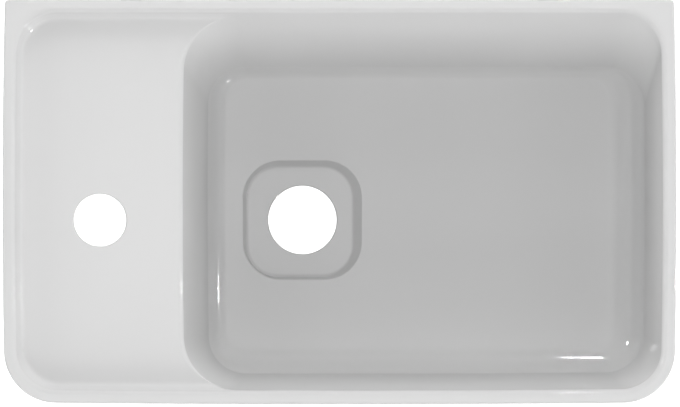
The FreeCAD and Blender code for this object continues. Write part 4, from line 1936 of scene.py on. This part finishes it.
@dataclass
class Studio:
    """Pale floor, soft lamps and a camera straight above the basin, in metres."""

    floor_middle: tuple[float, float] = (0.0, -0.135)
    floor_drop: float = 0.85
    floor_size: float = 14.0
    floor_white: float = 0.8
    floor_shade: float = 0.985
    floor_clouds: Grain = Grain(400.0, 2.0)
    floor_cloud_stops: tuple[float, float] = (0.2, 0.8)
    floor_roughness: float = 0.9
    floor_glow: float = 0.7
    lens: float = 900.0
    sensor: float = 36.0
    frame_width: float = 0.4538
    frame_centre: tuple[float, float] = (0.00033, -0.1359)
    rim: float = 0.085
    sky: float = 0.16
    backdrop: float = 1.0
    lamps: tuple[Softbox, ...] = (
        Softbox("overhead_lamp", 0.0, 90.0, (0.5, 0.5), 0.8, Reach.BOTH),
        Softbox("wide_overhead_lamp", 0.0, 90.0, (1.0, 1.0), 1.8, Reach.BOTH),
        Softbox("widest_overhead_lamp", 0.0, 90.0, (1.6, 1.6), 4.0, Reach.BOTH),
        Softbox("front_lamp", 0.0, 18.0, (1.4, 0.8), 17.6),
        Softbox("high_front_lamp", 0.0, 45.0, (1.4, 0.8), 3.9),
        Softbox("right_lamp", 90.0, 8.0, (1.0, 0.8), 18.0),
        Softbox("high_right_lamp", 90.0, 45.0, (1.0, 0.8), 3.3),
        Softbox("wall_side_lamp", 180.0, 18.0, (1.4, 0.8), 19.8),
        Softbox("high_wall_side_lamp", 180.0, 45.0, (1.4, 0.8), 4.4),
        Softbox("left_lamp", 270.0, 8.0, (1.0, 0.8), 13.4),
        Softbox("high_left_lamp", 270.0, 45.0, (1.0, 0.8), 2.6),
        Softbox("front_right_spark", 45.0, 27.0, (0.2, 0.2), 12.0, Reach.GLOSS),
        Softbox("left_spark", 256.0, 22.0, (0.2, 0.2), 12.0, Reach.GLOSS),
        Softbox("left_foot_streak", 91.0, 22.0, (0.016, 0.006), 0.12, Reach.GLOSS, 0.4,
                (-0.0814, -0.1945, -0.0093)),
        Softbox("front_foot_streak", 181.0, 38.0, (0.028, 0.004), 0.16, Reach.GLOSS, 0.4,
                (0.1675, -0.2400, -0.0075)),
    )

    def build(self) -> None:
        """Lays the floor, lights the scene and sets up the camera and the colour view."""
        self.lay_floor()
        self.light_world()
        for lamp in self.lamps:
            lamp.hang()
        self.set_camera()
        bpy.context.scene.view_settings.view_transform = "Standard"

    @staticmethod
    def seen_directly(tree: bpy.types.NodeTree) -> bpy.types.NodeSocket:
        """One where a ray comes straight from the camera or by a mirror or glass, else nought.

        Args:
            tree: The node tree of the floor or of the world.

        Returns:
            The socket of that value.
        """
        path = tree.nodes.new("ShaderNodeLightPath")
        value = path.outputs["Is Camera Ray"]
        for other in ("Is Glossy Ray", "Is Transmission Ray"):
            either = tree.nodes.new("ShaderNodeMath")
            either.operation = "MAXIMUM"
            tree.links.new(value, either.inputs[0])
            tree.links.new(path.outputs[other], either.inputs[1])
            value = either.outputs[0]
        return value

    def lay_floor(self) -> None:
        """Lays a pale floor well below the basin, clear when seen from underneath."""
        deselect()
        bpy.ops.mesh.primitive_plane_add(size=self.floor_size,
                                         location=(*self.floor_middle, self.rim - self.floor_drop))
        floor = bpy.context.active_object
        floor.name = "floor"
        nodes = Nodes("floor_paper")
        inputs = nodes.shader.inputs
        inputs["Roughness"].default_value = self.floor_roughness
        inputs["Specular IOR Level"].default_value = 0.0
        inputs["Emission Color"].default_value = (1, 1, 1, 1)
        colours = [(white,) * 3 for white in (self.floor_white * self.floor_shade, self.floor_white)]
        nodes.join(nodes.ramp(self.floor_clouds, self.floor_cloud_stops, colours), inputs["Base Color"])
        glow = nodes.add("ShaderNodeMath", operation="MULTIPLY")
        nodes.join(self.seen_directly(nodes.tree), glow.inputs[0])
        glow.inputs[1].default_value = self.floor_glow
        nodes.join(glow.outputs[0], inputs["Emission Strength"])
        clear = nodes.add("ShaderNodeBsdfTransparent")
        mix = nodes.add("ShaderNodeMixShader")
        behind = nodes.add("ShaderNodeNewGeometry").outputs["Backfacing"]
        nodes.join(behind, mix.inputs["Fac"])
        nodes.join(nodes.shader.outputs["BSDF"], mix.inputs[1])
        nodes.join(clear.outputs["BSDF"], mix.inputs[2])
        nodes.join(mix.outputs["Shader"], nodes.output.inputs["Surface"])
        floor.data.materials.append(nodes.material)

    def light_world(self) -> None:
        """Gives the room a plain soft light, of which nothing bounces on, and a white backdrop."""
        world = bpy.data.worlds.new("studio_world")
        bpy.context.scene.world = world
        world.use_nodes = True
        world.cycles.max_bounces = 0
        tree = world.node_tree
        tree.nodes.clear()
        mix = tree.nodes.new("ShaderNodeMixShader")
        tree.links.new(self.seen_directly(tree), mix.inputs["Fac"])
        for number, strength in enumerate((self.sky, self.backdrop), start=1):
            light = tree.nodes.new("ShaderNodeBackground")
            light.inputs["Color"].default_value = (1, 1, 1, 1)
            light.inputs["Strength"].default_value = strength
            tree.links.new(light.outputs["Background"], mix.inputs[number])
        output = tree.nodes.new("ShaderNodeOutputWorld")
        tree.links.new(mix.outputs["Shader"], output.inputs["Surface"])

    def set_camera(self) -> None:
        """Sets the camera straight above the basin, far away and with a long lens."""
        distance = self.frame_width * self.lens / self.sensor
        data = bpy.data.cameras.new("camera")
        data.lens = self.lens
        data.sensor_width = self.sensor
        data.clip_end = 2 * distance
        camera = bpy.data.objects.new("camera", data)
        camera.location = (*self.frame_centre, self.rim + distance)
        bpy.context.scene.collection.objects.link(camera)
        bpy.context.scene.camera = camera


def dress(piece: bpy.types.Object, finishes: Sequence[bpy.types.Material]) -> None:
    """Gives a piece its finishes.

    Args:
        piece: The piece.
        finishes: One finish, or one for each of the piece's slots.
    """
    while len(piece.data.materials) < len(finishes):
        piece.data.materials.append(None)
    for number, finish in enumerate(finishes):
        piece.data.materials[number] = finish


def set_down(piece: bpy.types.Object, node: str) -> None:
    """Fixes a piece to the object in the place of its node and reports it.

    Args:
        piece: The finished piece.
        node: The node that it stands for.
    """
    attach(piece, "root")
    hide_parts(node)
    triangles = sum(len(face.vertices) - 2 for face in piece.data.polygons)
    log.info("%s stands for %s, %d triangles", piece.name, node, triangles)


def main() -> None:
    """Builds the casting, its two fixings and the studio, and reports each piece."""
    logging.basicConfig(level=logging.INFO, format="%(name)s: %(message)s")
    casting = Casting().build()
    dress(casting, [Glaze().material(), BareChina().material()])
    set_down(casting, "basin")
    zinc = ZincPlate().material()
    nylon = {
        "wall_plug": Moulded("grey_nylon", ((0.30, 0.31, 0.32), (0.36, 0.37, 0.38))).material(),
        "bush": Moulded("white_nylon", ((0.70, 0.70, 0.67), (0.78, 0.78, 0.75))).material(),
    }
    for hand in Hand:
        for piece, node, slot in WallFixing(hand).build():
            dress(piece, [zinc if slot is Slot.ZINC_STEEL else nylon[node.rsplit("_", 1)[0]]])
            set_down(piece, node)
    Studio().build()


if __name__ == "__main__":
    main()
